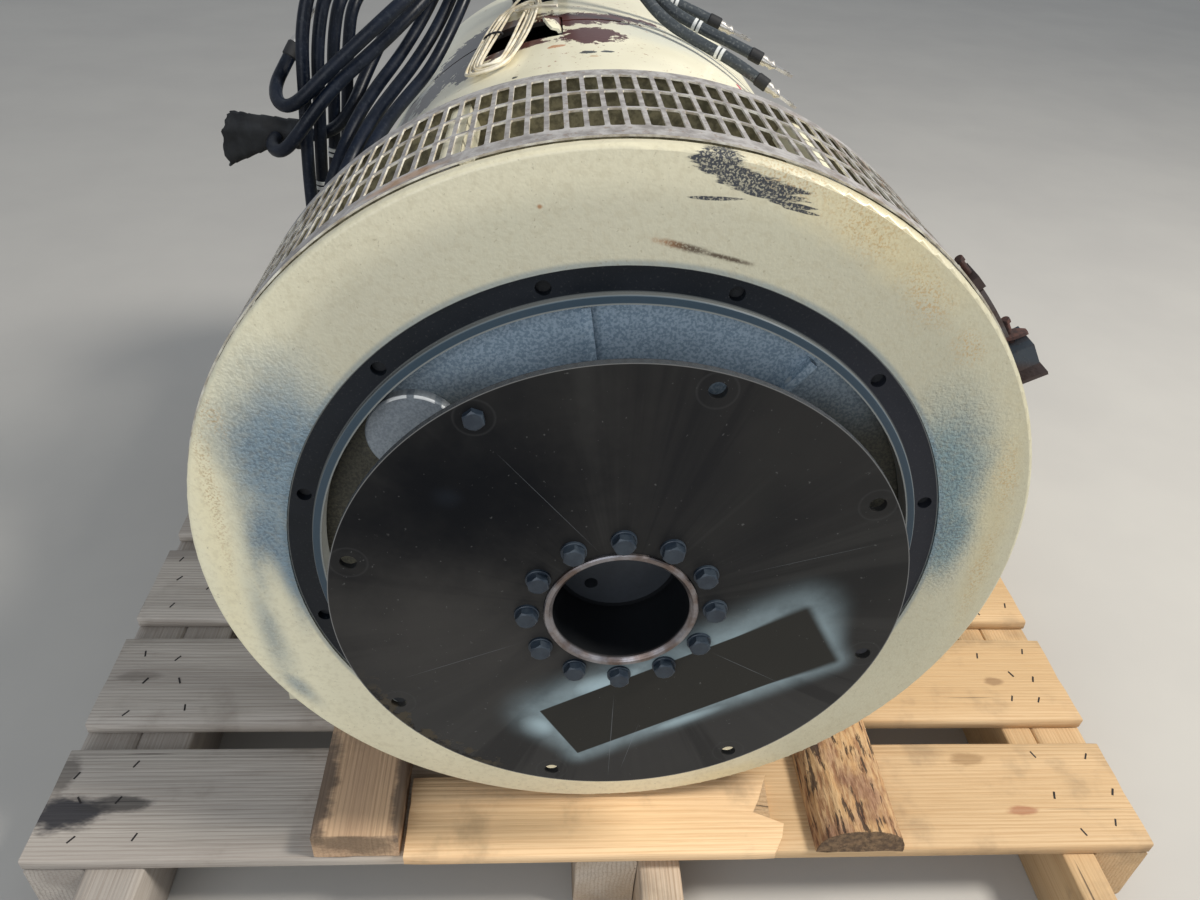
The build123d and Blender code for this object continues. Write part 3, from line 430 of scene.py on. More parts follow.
# Radii in metres: below the first one the paint is dark, as painted shade inside the shell; past the second
# it is as sprayed.
SHELL_INSIDE_SHADE = (0.3036, 0.3046)
SHELL_FLAKES = [
    # centre, half sizes, turn, strength and colour
    ((-14, 566, 306), (38, 40, 40), 0, 1.0, PRIMER),
    ((-30, 660, 304), (70, 34, 40), 0, 1.0, PRIMER),
    ((30, 678, 304), (46, 14, 30), 0, 1.0, PRIMER),
    ((-100, 560, 288), (46, 22, 30), 0, 1.0, PRIMER),
    ((-108, 700, 288), (60, 26, 40), 0, 1.0, PRIMER),
    ((-150, 690, 262), (40, 60, 44), 0, 1.0, PRIMER_IN_SHADE),
    ((-176, 636, 246), (34, 84, 44), 0, 1.0, PRIMER_IN_SHADE),
    ((-160, 560, 262), (20, 44, 24), 0, 1.0, PRIMER_IN_SHADE),
    ((-205, 570, 228), (26, 56, 30), 0, 1.0, PRIMER_IN_SHADE),
    ((-236, 610, 196), (14, 50, 30), 0, 0.9, PRIMER_IN_SHADE),
    ((-22, 480, 306), (9, 7, 10), 0, 1.0, STEEL_CHIP),
    ((0, 484, 307), (7, 5, 10), 0, 1.0, STEEL_CHIP),
    ((-16, 462, 307), (5, 3, 10), 0, 0.8, (190, 150, 100)),
    ((-56, 520, 302), (11, 7, 10), 0, 0.8, (190, 120, 66)),
    ((-100, 422, 290), (3, 4, 5), 0, 1.0, STEEL_CHIP),
    ((168, 560, 257), (3, 16, 8), 0, 1.0, (206, 62, 74)),
]


def cream_enamel(name, flakes=()):
    """Cream paint, cloudy and freckled with rust, with painted shade on the shell's left flank; the shell's
    has flakes too, and painted shade inside.
    """
    look = Finish(name, CREAM, Roughness=0.38, Coat_Weight=0.2, Coat_Roughness=0.15)
    look.lay(look.spots(5.0, 0.52, 0.16), CREAM_DULL)
    look.lay(look.patch((80, 620, 296), (110, 90, 60), Softness=0.9), (206, 210, 200), 0.6)
    # A bluish grey patch on the shell's left flank: painted shade.
    look.lay(look.patch((-236, 600, 190), (50, 130, 90), Softness=0.7, Ragged=1.2, Stretch=(1.0, 0.3, 1.0)),
             (122, 134, 138), 0.75)
    look.marks(flakes, Ragged=2.6, Grain=58.0, Softness=0.04)
    look.lay(look.spots(150.0, 0.655, 0.03, 4.0) * look.spots(9.0, 0.55, 0.1), (150, 92, 48))
    if flakes:
        # Painted shade: the inside of the shell is dark.
        look.lay(look.place.from_shaft().step(*SHELL_INSIDE_SHADE, 1.0, 0.0), (34, 30, 27))
    return look.done(look.peel(190.0), 0.0004, 0.35)


shell_paint = cream_enamel("shell_paint", SHELL_FLAKES)
dress(shell_paint, "main_shell", "rear_shell")
dress(cream_enamel("plain_cream"), "rear_bracket", "bearing_cap", "foot_left", "foot_right", "screen_struts")
print("shell painted with", len(SHELL_FLAKES), "flakes and chips")

# %% [markdown]
# ## The front plate
#
# The plate has the same enamel, but it is what the eye meets first, so it gets its own finish. The
# paint is khaki at the top and creamier below, a painted reflection of the bright ground. To the
# left and right of the flange it is blue-grey, a painted reflection of the sky, and there its
# dimples stand out, painted darker as painted shade. Its right side is painted darker as painted
# shade, its left side lighter as painted light, and a blue-grey line round the flange is a painted
# shadow. A load has left a black scuff near the top, and a brown streak runs beside it.

# %% Places of wear, painted reflection and painted shade on the front plate
# Blue-grey zones of painted sky reflection, to the left and right of the flange.
REFLECTION_ZONES = (
    # x, z, half width, half height, turn
    (-264, 92, 84, 136, 0), (-286, 6, 42, 120, 0), (256, 84, 74, 128, 0), (282, 34, 44, 84, 6),
)
FAINT_REFLECTION_ZONES = ((-314, -84, 30, 130, 8), (-292, -172, 16, 50, 30))
CREAM_STREAK = ((-290, -62, 18, 92, 7),)
SCUFF_STROKES = (
    (42, 350, 20, 5.5, -3), (50, 343, 24, 4.6, -4), (64, 338, 27, 5, -6), (74, 333, 33, 4.6, -6),
    (80, 328, 28, 3.6, -8), (44, 324, 20, 1.5, 0), (98, 321, 20, 1.8, -9), (104, 317, 15, 1.2, -12),
)
BROWN_STREAKS = ((28, 290, 30, 4.0, -12), (58, 283, 30, 2.6, -12))
RUST_DOT = ((-72, 314, 2.6, 2.2, 0),)
FRECKLE_ZONES = (
    (92, 338, 60, 22, -14), (150, 305, 60, 26, -32), (205, 258, 50, 26, -45), (322, 90, 16, 60, 12),
    (330, -20, 14, 90, 0), (-330, 60, 12, 120, 0), (-318, 140, 14, 40, 20), (250, 215, 26, 20, -40),
)
YELLOW_ZONES = (
    (170, 296, 120, 34, -30), (322, 40, 28, 190, 6), (-336, 0, 20, 190, 0), (150, -318, 110, 24, 25),
)
PLATE_PEEL = 380.0

# %% Ground, painted reflection and painted shade of the plate
look = Finish("plate_paint", Roughness=0.4, Coat_Weight=0.15, Coat_Roughness=0.2)
# Khaki at the top and creamier below: painted reflection of the bright ground.
look.colour = look.z.step(-0.30, 0.20).mix((230, 223, 194), (187, 182, 160))
look.lay(look.spots(7.0, 0.52, 0.2), (188, 186, 160), 0.25)
look.lay(look.ring(0.352, 0.008, 0.03), (222, 214, 184), 0.55)
look.lay(look.zone(YELLOW_ZONES, Softness=0.9, Ragged=1.0, Grain=30.0), (226, 206, 150), 0.45)
# Painted sky reflection: blue-grey, left and right of the flange.
sky_reflection = look.zone(REFLECTION_ZONES, Softness=0.72, Ragged=0.4, Grain=14.0)
sky_reflection = sky_reflection | look.zone(FAINT_REFLECTION_ZONES, Softness=0.97, Ragged=0.5, Grain=16.0) * 0.75
outer_edge = ((look.z - 0.08) | 0.0) * 0.5 + look.x
sky_reflection = sky_reflection * outer_edge.step(-0.330, -0.304)
sky_reflection = sky_reflection * ~look.zone(CREAM_STREAK, Softness=0.9, Ragged=0.5, Grain=30.0)
look.lay(sky_reflection, look.x.step(-0.1, 0.1).mix((112, 134, 148), (98, 122, 128)), 0.94)
# Painted shade in the dimples within the painted reflection.
look.lay(look.peel(PLATE_PEEL).step(1.06, 0.92) * sky_reflection, (64, 84, 100), 0.42)
# Painted light on the left side, and painted shade on the right side.
look.lay(look.x.step(-0.20, -0.33) * ~sky_reflection, (246, 240, 208), 0.5)
look.lay(look.x.step(0.0, 0.30) * ~sky_reflection, (146, 144, 124), 0.52)
# A blue-grey line just outside the flange: painted shadow.
look.lay(look.ring(0.2772, 0.0009, 0.004), (96, 116, 128), 0.55)

# %% Freckles, streak and scuff on the plate
freckled = look.zone(FRECKLE_ZONES, Softness=0.95, Ragged=1.0, Grain=30.0)
look.lay(look.spots(520.0, 0.55, 0.07, 4.0) * freckled, (170, 132, 76), 0.6)
look.lay(look.spots(170.0, 0.56, 0.12, 4.0), (150, 136, 104), 0.16)
look.lay(look.spots(330.0, 0.68, 0.02, 3.0), (120, 108, 84), 0.35)
broken = look.spots(620.0, 0.46, 0.05, 4.0)
streak = look.zone(BROWN_STREAKS, Softness=0.75, Ragged=0.9, Grain=180.0, Stretch=(0.4, 1.0, 1.0))
look.lay(streak * (broken * 0.4 + 0.6), look.x.step(0.0, 0.034).mix((150, 96, 42), (84, 72, 56)))
look.lay(look.zone(RUST_DOT, Softness=0.8, Ragged=0.8, Grain=200.0), (150, 96, 42), 0.8)
scuff = look.zone(SCUFF_STROKES, Softness=0.2, Ragged=1.7, Grain=230.0, Stretch=(0.14, 1.0, 1.0))
look.lay(scuff * (broken * 0.55 + 0.42), (36, 41, 52))
dress(look.done(look.peel(PLATE_PEEL) * (sky_reflection * 2.6 + 0.35), 0.0007, 0.8), "front_plate")
print("plate:", len(REFLECTION_ZONES), "worn zones,", len(FRECKLE_ZONES), "rusty ones")

# %% [markdown]
# ## The engine flange
#
# The flange is machined steel under thin satin black, painted lighter on its right side as a
# painted sheen. The lip round its bore is slate grey, and its turned edges have lost the black;
# their fine pale lines are painted highlights, which a ring mask at the right radius gives at once.

# %% Finish of the flange
look = Finish("flange_black", Specular_IOR_Level=0.22)
# Painted sheen: lighter on the right side.
look.colour = look.x.step(0.05, 0.25).mix((14, 20, 27), (36, 38, 46))
smoke = look.spots(16.0, 0.5, 0.2, 4.0)
look.lay(smoke, (34, 37, 43), 0.35)
look.lay(look.ring(0.2521, 0.0026, 0.001), (62, 78, 90), 0.85)
# Painted highlights: fine pale lines on the bare turned edges.
for radius, strength in ((0.2556, 0.22), (0.2484, 0.5), (0.2762, 0.4)):
    look.lay(look.ring(radius, 0.0003, 0.0009), (176, 180, 176), strength)
look.lay(look.spots(420.0, 0.64, 0.04), (80, 80, 80), 0.2)
dress(look.done(look.rough(700.0), 0.00015, 0.4, Roughness=smoke.step(0.0, 1.0, 0.32, 0.5)), "engine_flange")

# %% [markdown]
# ## The coupling discs
#
# The discs are dark spring steel that many hands have smudged. Large soft patches on them are
# painted reflection, dark towards the top and pale at the lower left and below, and faint wedges
# that run out from the hub are painted reflection too. One turned rectangle stays bare and dark,
# in a pale painted highlight that fades away from its edges. To find how far a point is from a
# turned rectangle, its place is turned into the rectangle's own axes, and what lies past the half
# sizes is measured.

# %% Places of wear and of painted reflection on the discs
BARE_CENTRE = Vector((62.8, 0.0, -93.3))
BARE_HALF = Vector((125.5, FAR, 35.0))
BARE_TURN = 30.65
# How far the painted highlight reaches past the rectangle, in metres.
GLOW_ABOVE = 0.050
GLOW_BELOW = 0.026
GLOW_CORES = ((-8, -88, 62, 26, 30), (128, -30, 48, 20, 32), (-66, -150, 30, 30, 0), (70, -140, 70, 12, 30))
# The large soft patches are painted reflection, dark towards the top and pale at the lower left; the small
# second one is a smudge.
DISC_SMUDGES_AND_REFLECTIONS = [
    ((-128, 0, 118), (186, FAR, 150), 30, 1.0, (2, 5, 11)),
    ((-135, 0, 117), (16, FAR, 14), 0, 0.5, (24, 30, 38)),
    ((40, 0, 150), (60, FAR, 120), -14, 0.55, (22, 23, 26)),
    ((120, 0, 90), (40, FAR, 120), -42, 0.4, (22, 22, 25)),
    ((-140, 0, -30), (170, FAR, 110), 0, 0.8, (60, 58, 56)),
]
RIM_CRUST = ((-176, -152, 62, 100, 32), (-128, -196, 40, 40, 40))
SCRATCHES = (
    # x, z, half length, half width, turn
    (2, -163, 68, 0.35, 91), (113, -69, 44, 0.3, -31), (-130, -60, 60, 0.25, 24), (-60, 110, 70, 0.2, -50),
    (150, 60, 60, 0.2, 18), (20, -180, 40, 0.25, 80),
)
# The holes' circle in metres, their number and the angle of the first.
RIM_HOLES = (0.219, 8, 31.5)
# Radii in metres between which the face ends and the stack's edge starts.
DISC_EDGE = (0.23325, 0.2333)


def from_nearest_hole(place, circle, count, start):
    """How far a point is from the nearest hole of a bolt circle."""
    x, _, z = place.parts()
    pitch = math.tau / count
    turn = z.sum("ARCTAN2", x) - math.radians(start)
    turn = turn - (turn * (1 / pitch)).sum("ROUND") * pitch
    reach = place.from_shaft()
    off_out = reach * turn.sum("COSINE") - circle
    off_round = reach * turn.sum("SINE")
    return (off_out * off_out + off_round * off_round).sum("SQRT")


# %% Ground and smudges of the discs
look = Finish("disc_steel", Specular_IOR_Level=0.12)
spread = look.place.from_shaft()
cloud = look.spots(8.0, 0.5, 0.25, 3.0)
look.colour = cloud.mix((42, 41, 40), (33, 33, 33))
# Painted reflection: the lower part is lighter.
look.lay(look.z.step(0.02, -0.16), (56, 55, 54), 0.8)
# Faint wedges out from the hub: painted reflection.
unit = look.place.vector("MULTIPLY", (1, 0, 1)).vector("NORMALIZE")
wedges = unit.vector("MULTIPLY", (5, 0, 5)).vector("ADD", joined(look.tree, Y=spread))
rays = cloudy(wedges, Scale=1.0, Detail=4.0, Roughness=0.65)
look.lay(rays.step(0.50, 0.66), (62, 61, 59), 0.3)
look.lay(rays.step(0.46, 0.38), (22, 22, 24), 0.45)
look.marks(DISC_SMUDGES_AND_REFLECTIONS, Softness=0.95, Ragged=0.8, Grain=14.0)

# %% The bare rectangle and the painted highlight round it
on_bare = look.place.vector("SUBTRACT", BARE_CENTRE * MM).turned(math.radians(BARE_TURN))
bare_x, _, bare_z = on_bare.parts()
away = on_bare.vector("ABSOLUTE").vector("SUBTRACT", BARE_HALF * MM).vector("MAXIMUM").vector("LENGTH")
reach = bare_z.step(-0.03, 0.03) * (GLOW_ABOVE - GLOW_BELOW) + GLOW_BELOW
glow = away.step(0.0, reach, 1.0, 0.0).sum("POWER", 1.6)
haze = look.spots(22.0, 0.48, 0.25, 4.0) * 0.3 + 0.28
look.lay(glow * (haze | look.zone(GLOW_CORES, Softness=0.95, Ragged=0.5, Grain=20.0)), (170, 190, 196))
look.lay(away.step(0.0, bare_x.step(0.06, 0.126) * 0.008 + 0.0012, 1.0, 0.0), (42, 41, 38))

# %% Scratches, crust and edge of the discs
around = from_nearest_hole(look.place, *RIM_HOLES)
look.lay(around.step(0.013, 0.015) * around.step(0.0145, 0.016, 1.0, 0.0), (74, 74, 74), 0.2)
for scratch in SCRATCHES:
    look.lay(look.zone((scratch,), Softness=0.5, Ragged=0.6, Grain=90.0), (130, 134, 138), 0.4)
crumbs = look.use(SPECKLE, Scale=95.0, Level=0.5, Softness=0.05, Detail=5.0)
crust = (spread - (crumbs["Value"] * 0.055 + 0.1965)).step(0.0, 0.004)
crust = crust * look.zone(RIM_CRUST, Softness=0.7, Ragged=0.9, Grain=40.0)
look.lay(crust, crumbs["Mask"].mix((66, 60, 50), (28, 26, 25)))
# A painted highlight along the rim's front edge.
front = look.y.step(-0.0598, -0.0595, 1.0, 0.0)
look.lay(look.ring(0.2333, 0.0004, 0.0006) * front, (150, 150, 148), 0.5)
sheets = waves(look.place, Scale=330.0, Distortion=0.6).step(0.55, 0.8)
look.lay(spread.step(*DISC_EDGE), sheets.mix((24, 26, 30), (96, 100, 104)))
look.lay(look.spots(240.0, 0.72, 0.015, 3.0), (130, 130, 128), 0.25)
height = crust * 8.0 + look.rough(220.0, 4.0)
dress(look.done(height, 0.0002, 0.35, Roughness=cloud.step(0.0, 1.0, 0.36, 0.5)), "coupling_discs")
print("disc: glow of", GLOW_ABOVE * 1000, "mm above the bare rectangle")

# %% [markdown]
# ## Fan, hub, core and screws
#
# The fan is rough cast metal. Its top is grey-blue, a painted reflection of the sky, with two painted
# highlights where sunlight falls through the screen on its ribs, and it is olive with dust to the
# sides and on the blades behind it. The hub is turned bright at its nose only, and its bore is
# painted near black as painted shade. The other metals differ from each other by colour, shine and
# how coarse their skin is, so one small function makes them.

# %% Finish of the fan
look = Finish("fan_cast", Metallic=0.1, Roughness=0.62)
speck = look.spots(420.0, 0.5, 0.1, 4.0)
# Painted sky reflection: grey-blue at the top of the fan.
painted_sky_top = speck.mix((132, 154, 172), (172, 191, 206))
height = look.z + (look.rough(5.0) - 0.5) * 0.12
look.colour = height.step(0.11, 0.20).mix(speck.mix((58, 57, 50), (78, 76, 64)), painted_sky_top)
# Two painted highlights: sunlight through the screen on the fan's ribs.
look.marks([
    ((-37.5, 17.5, 209), (5, 4.6, 26), -14, 0.9, (226, 230, 230)),
    ((120, 17.5, 184), (5, 4.6, 18), 18, 0.8, (190, 196, 196)),
], Softness=0.5, Ragged=1.0, Grain=160.0)
look.lay(look.y.step(0.0285, 0.0295), look.spots(150.0, 0.5, 0.12, 5.0).mix((86, 80, 58), (122, 113, 84)))
dress(look.done(look.rough(520.0, 4.0), 0.0007, 0.8), "fan")

# %% Dust inside the screen
look = Finish("dusty_ring", Roughness=0.8)
dusty = look.spots(150.0, 0.5, 0.15, 5.0)
look.colour = dusty.mix((96, 90, 68), (142, 134, 104))
# A paler cream window at the top: cream paint, lighter with painted sunlight.
sunlit_cream = look.zone(((2, 330, 36, 60, 0),), Softness=0.1, Ragged=0.4, Grain=30.0)
look.lay(sunlit_cream * look.y.step(0.139, 0.134), dusty.mix((216, 208, 176), (190, 186, 160)))
dress(look.done(look.rough(400.0, 4.0), 0.0005, 0.7), "shell_ring")

# %% Finish of the hub
look = Finish("hub_turned")
# Painted shade: the bore is near black and dull.
bore_shade = look.place.from_shaft().step(0.0562, 0.0568, 1.0, 0.0) * look.y.step(-0.063, -0.057)
look.colour = look.spots(34.0, 0.5, 0.14, 4.0).mix((150, 148, 152), (112, 98, 92))
look.lay(bore_shade, (12, 15, 19))
dull = bore_shade | look.spots(60.0, 0.5, 0.2, 4.0)
turned_lines = waves(look.place, Scale=260.0, Distortion=0.4)
hub_turned = look.done(turned_lines, 0.00008, 0.3, Roughness=dull.step(0.0, 1.0, 0.28, 0.48),
                       Metallic=bore_shade.step(0.0, 1.0, 0.9, 0.3))
dress(hub_turned, "drive_hub")


# %% Plain metals, rubber and varnish
def plain_finish(name, colour, rough, metallic=0.0, skin=300.0, depth=0.0002, blotch=30.0, second=None):
    """A finish of one material: clouded between two tones, with an uneven shine and a fine skin."""
    look = Finish(name, Metallic=metallic)
    cloud = look.spots(blotch, 0.5, 0.2, 4.0)
    darker = tuple(channel * 0.72 for channel in srgb(colour)[:3]) + (1.0,)
    look.colour = cloud.mix(colour, second or darker)
    return look.done(look.rough(skin), depth, 0.5, Roughness=cloud.step(0.0, 1.0, rough, rough + 0.12))


dress(plain_finish("bright_steel", (66, 70, 76), 0.4, 0.5), "shaft", "rear_bearing")
dress(plain_finish("grille_zinc", (136, 132, 130), 0.5, 0.3), "inlet_grille", "screen_hoops")
dress(plain_finish("core_varnish", (66, 56, 52), 0.5), "stator_core", "rotor_core", "exciter")
dress(plain_finish("coil_varnish", (112, 58, 40), 0.35, 0.0, 60.0, 0.002),
      "front_coils", "rear_coils", "rotor_coils")
dress(plain_finish("seam_dirt", (48, 36, 32), 0.8), "shell_seam")
dress(plain_finish("strap_steel", (88, 86, 86), 0.6, 0.2, 240.0, 0.0004, 70.0, (74, 58, 52)), "clamp_strap")
rust_coarse = plain_finish("rust_coarse", (80, 50, 42), 0.85, 0.0, 500.0, 0.0006, 160.0, (42, 34, 34))
bolt_black = plain_finish("bolt_black", (30, 40, 52), 0.36, 0.2, 500.0, 0.0002, 90.0, (46, 56, 66))
rubber = plain_finish("rubber", (24, 25, 28), 0.6)
dress(rubber, "lead_grommet")
tape_dull = plain_finish("tape_dull", (25, 28, 32), 0.68, 0.0, 420.0, 0.0004, 40.0, (17, 18, 20))
tie_black = plain_finish("tie_black", (22, 22, 24), 0.5)
wire_cream = plain_finish("wire_cream", (240, 233, 214), 0.45, 0.0, 300.0, 0.0001, 60.0, (214, 200, 170))
tag_white = plain_finish("tag_white", (226, 228, 226), 0.5)
tinned = plain_finish("tinned", (196, 192, 186), 0.32, 0.85)
nail_steel = plain_finish("nail_steel", (40, 36, 36), 0.7, 0.2)
# Painted highlight: the pale colour of the screen's slot walls, as if the sun falls on them.
slot_wall_highlight = plain_finish("slot_wall_highlight", (232, 228, 214), 0.55, 0.1, 300.0, 0.0002, 60.0, (160, 148, 128))

# %% Cleats of the screen's clamp: grey paint, with rust at their edges
look = Finish("cleat_grey", (54, 62, 70), Roughness=0.55, Metallic=0.2)
rusty = look.spots(90.0, 0.52, 0.06, 5.0)
edges = look.z.step(0.185, 0.196, 1.0, 0.0) | look.z.step(0.225, 0.24)
look.lay(edges | rusty * 0.35, (62, 46, 40), 0.85)
dress(look.done(rusty, 0.0004, 0.5), "clamp_cleats")

# %% Rubber of the leads: navy black, and dusty grey where they lie on the right of the shell
look = Finish("lead_sheath", Specular_IOR_Level=0.26)
cloud = look.spots(24.0, 0.5, 0.2, 4.0)
look.colour = cloud.mix((4, 10, 22), (11, 20, 35))
dust = look.spots(300.0, 0.6, 0.06, 4.0)
look.lay(dust, (92, 100, 108), 0.10)
look.lay(look.x.step(-0.02, 0.06), dust.mix((66, 72, 76), (104, 108, 108)), 0.7)
lead_sheath = look.done(look.rough(160.0), 0.0004, 0.35, Roughness=cloud.step(0.0, 1.0, 0.34, 0.5))

# %% [markdown]
# ## Wood
#
# The pallet is sawn softwood. Its left half lay in the weather and has gone grey-brown, and it is
# darker still with painted shade; its right half is still yellow, and lighter with painted light.
# Wood is built from its figure: rings seen side on, fibres that give it its tooth, slow changes of
# tone, and drying cracks. The grain group runs along X, so pieces that lie along Y are given their
# place with X and Y swapped.

# %% Finish of the wood
# Tones of weathered wood darkened with painted shade, and of fresh wood lightened with painted light.
WEATHERED_AND_SHADED = ((190, 182, 172), (128, 116, 106), (152, 144, 136))
FRESH_AND_SUNLIT = ((204, 173, 132), (172, 134, 92), (190, 158, 116))


def figure(grain, tones):
    """Wood of three tones: the body, the late rings and the weathered patches."""
    body, late, weathered = tones
    colour = (grain["Rings"].step(0.6, 1.0) * 0.36).mix(body, late)
    colour = (grain["Tone"].step(0.44, 0.62) * 0.75).mix(colour, weathered)
    return (grain["Fibres"].step(0.42, 0.70) * 0.42).mix(colour, late)


def wood_finish(name, fade, along="X", weathered_and_shaded=WEATHERED_AND_SHADED, fresh_and_sunlit=FRESH_AND_SUNLIT, stains=(), ring_scale=62.0):
    """Softwood that is weathered and in painted shade up to the first x of fade, in metres, and fresh and in
    painted light past the second.
    """
    look = Finish(name)
    lengthwise = look.place if along == "X" else joined(look.tree, X=look.y, Y=look.x, Z=look.z)
    grain = look.use(GRAIN, Vector=lengthwise, Ring_Scale=ring_scale)
    wander = (grain["Tone"] - 0.5) * 0.35
    look.colour = (look.x + wander).step(*fade).mix(figure(grain, weathered_and_shaded), figure(grain, fresh_and_sunlit))
    look.lay(look.spots(11.0, 0.62, 0.1, 5.0), (96, 82, 66), 0.35)
    look.lay(grain["Cracks"], (48, 38, 30), 0.7)
    look.marks(stains, Softness=0.5, Ragged=1.3, Grain=45.0, Stretch=(0.4, 1.0, 1.0))
    height = grain["Rings"] * -0.25 + grain["Fibres"] - grain["Cracks"] * 1.6
    return look.done(height, 0.0009, 0.75, Roughness=grain["Fibres"].step(0.3, 0.7, 0.68, 0.86))


DECK_STAINS = [
    ((-566, 4, -378), (52, 26, 8), 0, 0.95, (38, 38, 44)),
    ((-516, 14, -378), (44, 14, 8), 0, 0.8, (52, 50, 50)),
    ((-584, 52, -378), (16, 30, 8), 0, 0.6, (70, 64, 58)),
    ((-556, 190, -378), (34, 10, 8), 0, 0.4, (84, 76, 66)),
    ((452, 62, -378), (26, 12, 8), 0, 0.6, (140, 108, 70)),
    ((492, -6, -378), (22, 8, 8), 0, 0.65, (150, 90, 62)),
    ((534, 180, -378), (16, 9, 8), 0, 0.6, (120, 88, 58)),
    ((300, 120, -378), (30, 16, 8), 0, 0.35, (130, 100, 70)),
]
CHOCK_STAINS = [
    ((-295, 10, -340), (22, 90, 30), 0, 0.8, (62, 54, 50)),
    ((-205, 20, -340), (14, 120, 30), 0, 0.7, (56, 52, 52)),
    ((-250, -50, -356), (60, 3, 30), 0, 0.7, (92, 76, 58)),
]
deck_wood = wood_finish("deck_wood", (-0.30, -0.05), stains=DECK_STAINS)
timber_wood = wood_finish("timber_wood", (-0.2, 0.35), "Y", ring_scale=70.0)
# The plank's fresh tones and the chock's old tones are lighter copies: painted light where the sun falls on
# them.
plank_wood = wood_finish("plank_wood", (-0.5, -0.3), ring_scale=46.0,
                         fresh_and_sunlit=((236, 202, 158), (196, 152, 106), (222, 186, 142)))
chock_wood = wood_finish("chock_wood", (0.5, 0.6), "Y", ring_scale=56.0, stains=CHOCK_STAINS,
                         weathered_and_shaded=((214, 180, 144), (140, 108, 82), (188, 156, 126)))

# %% Finish of the split log: fibrous bark with pale strips of bare wood
look = Finish("log_bark", Roughness=0.9)
stretched = look.place.vector("MULTIPLY", (1.0, 0.16, 1.0))
plates = look.use(SPECKLE, Vector=stretched, Scale=85.0, Level=0.5, Softness=0.09, Detail=6.0)
strips = look.use(SPECKLE, Vector=stretched, Scale=240.0, Level=0.5, Softness=0.08, Detail=5.0)
look.colour = plates["Mask"].mix((150, 110, 76), (190, 150, 104))
look.lay(strips["Mask"], (208, 176, 132), 0.6)
look.lay(look.spots(16.0, 0.55, 0.1, 4.0), strips["Mask"].mix((92, 54, 48), (132, 92, 78)), 0.65)
grooves = look.spots(150.0, 0.41, 0.04, 5.0, Vector=stretched)
look.lay(grooves.step(0.0, 1.0, 0.85, 0.0), (44, 32, 28))
look.lay(look.y.step(-0.0508, -0.0515), look.spots(160.0, 0.5, 0.15, 4.0).mix((132, 106, 78), (92, 72, 54)))
log_bark = look.done(grooves * 0.5 + plates["Value"] + strips["Value"], 0.003, 0.8)

# %% Floor: plain pale concrete
look = Finish("floor_paint", Roughness=0.92)
look.colour = look.spots(2.2, 0.5, 0.3, 4.0).mix((184, 181, 175), (177, 174, 169))
floor.data.materials.append(look.done())
print("finishes", len(bpy.data.materials))

# %% [markdown]
# ## Helpers for meshes
#
# Most of the small pieces are lofts: one ring of points after another, joined by quads. A bolt head
# is a loft of hexagons, a board is a loft of worn rectangles, and a lug is a circle that turns flat.
# `loft` does the joining, and `finish_piece` turns the result into a piece that rides on its body.


# %% Lofts and pieces
def loft(shape, rings, closed=False):
    """Joins rings of points, in millimetres and with equal counts; closed joins the last to the first."""
    rows = [[shape.verts.new(Vector(point) * MM) for point in points] for points in rings]
    for near, far in zip(rows, rows[1:] + rows[:1] if closed else rows[1:]):
        for index in range(len(near)):
            after = (index + 1) % len(near)
            shape.faces.new((near[index], near[after], far[after], far[index]))
    if not closed:
        shape.faces.new(list(reversed(rows[0])))
        shape.faces.new(rows[-1])
    return rows


def finish_piece(name, shape, finish, body="frame", sharp=35.0):
    """Makes a piece of a mesh: smooth, but with an edge where two faces meet at more than that angle."""
    bmesh.ops.recalc_face_normals(shape, faces=shape.faces[:])
    data = bpy.data.meshes.new(name)
    shape.to_mesh(data)
    shape.free()
    data.shade_smooth()
    data.set_sharp_from_angle(angle=math.radians(sharp))
    data.materials.append(finish)
    piece = bpy.data.objects.new(name, data)
    bpy.context.scene.collection.objects.link(piece)
    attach(piece, body)
    print(name, "of", len(data.polygons), "faces")
    return piece


# %% Directions and outlines
def polar(radius, angle, y):
    """A point at that radius and angle round the shaft, and that far along it."""
    turn = math.radians(angle)
    return Vector((radius * math.cos(turn), y, radius * math.sin(turn)))


def along_round(angle):
    """The direction outwards at that angle, and the one round the shaft to the left."""
    out = polar(1.0, angle, 0.0)
    return out, Vector((-out.z, 0, out.x))


def cross_axes(way):
    """Two unit vectors square to a direction."""
    helper = Vector((0, 0, 1)) if abs(way.z) < 0.9 else Vector((1, 0, 0))
    side = way.cross(helper).normalized()
    return side, side.cross(way).normalized()


def ring(centre, way, radius, count=24, start=0.0):
    """A circle of points square to a direction."""
    side, up = cross_axes(way)
    turns = [math.tau * index / count + start for index in range(count)]
    return [centre + side * radius * math.cos(turn) + up * radius * math.sin(turn) for turn in turns]


def hexagon(centre, way, across, start=0.0, drop=0.0):
    """A hexagon with a point in the middle of each side; its corners lie lower by drop."""
    side, up = cross_axes(way)
    points = []
    for index in range(12):
        turn = math.tau * index / 12 + start
        corner = index % 2 == 0
        radius = across / math.sqrt(3) if corner else across / 2
        low = way * (-drop if corner else 0.0)
        points.append(centre + side * radius * math.cos(turn) + up * radius * math.sin(turn) + low)
    return points


# %% Heads and threads
def bolt_head(shape, seat, way, across, height, washer_r=0.0, washer_thick=0.0, start=0.0):
    """A hexagon head with its chamfer, on a washer where it has one; way points off the seat."""
    foot = seat + way * washer_thick
    top = foot + way * height
    if washer_r:
        loft(shape, [ring(seat, way, washer_r, 32), ring(foot - way * 0.4, way, washer_r, 32),
                     ring(foot, way, washer_r - 0.5, 32)])
    loft(shape, [
        hexagon(foot, way, across, start), hexagon(top - way * 0.2, way, across, start, drop=1.1),
        ring(top, way, across * 0.46, 12, start), ring(top, way, across * 0.40, 12, start),
    ])


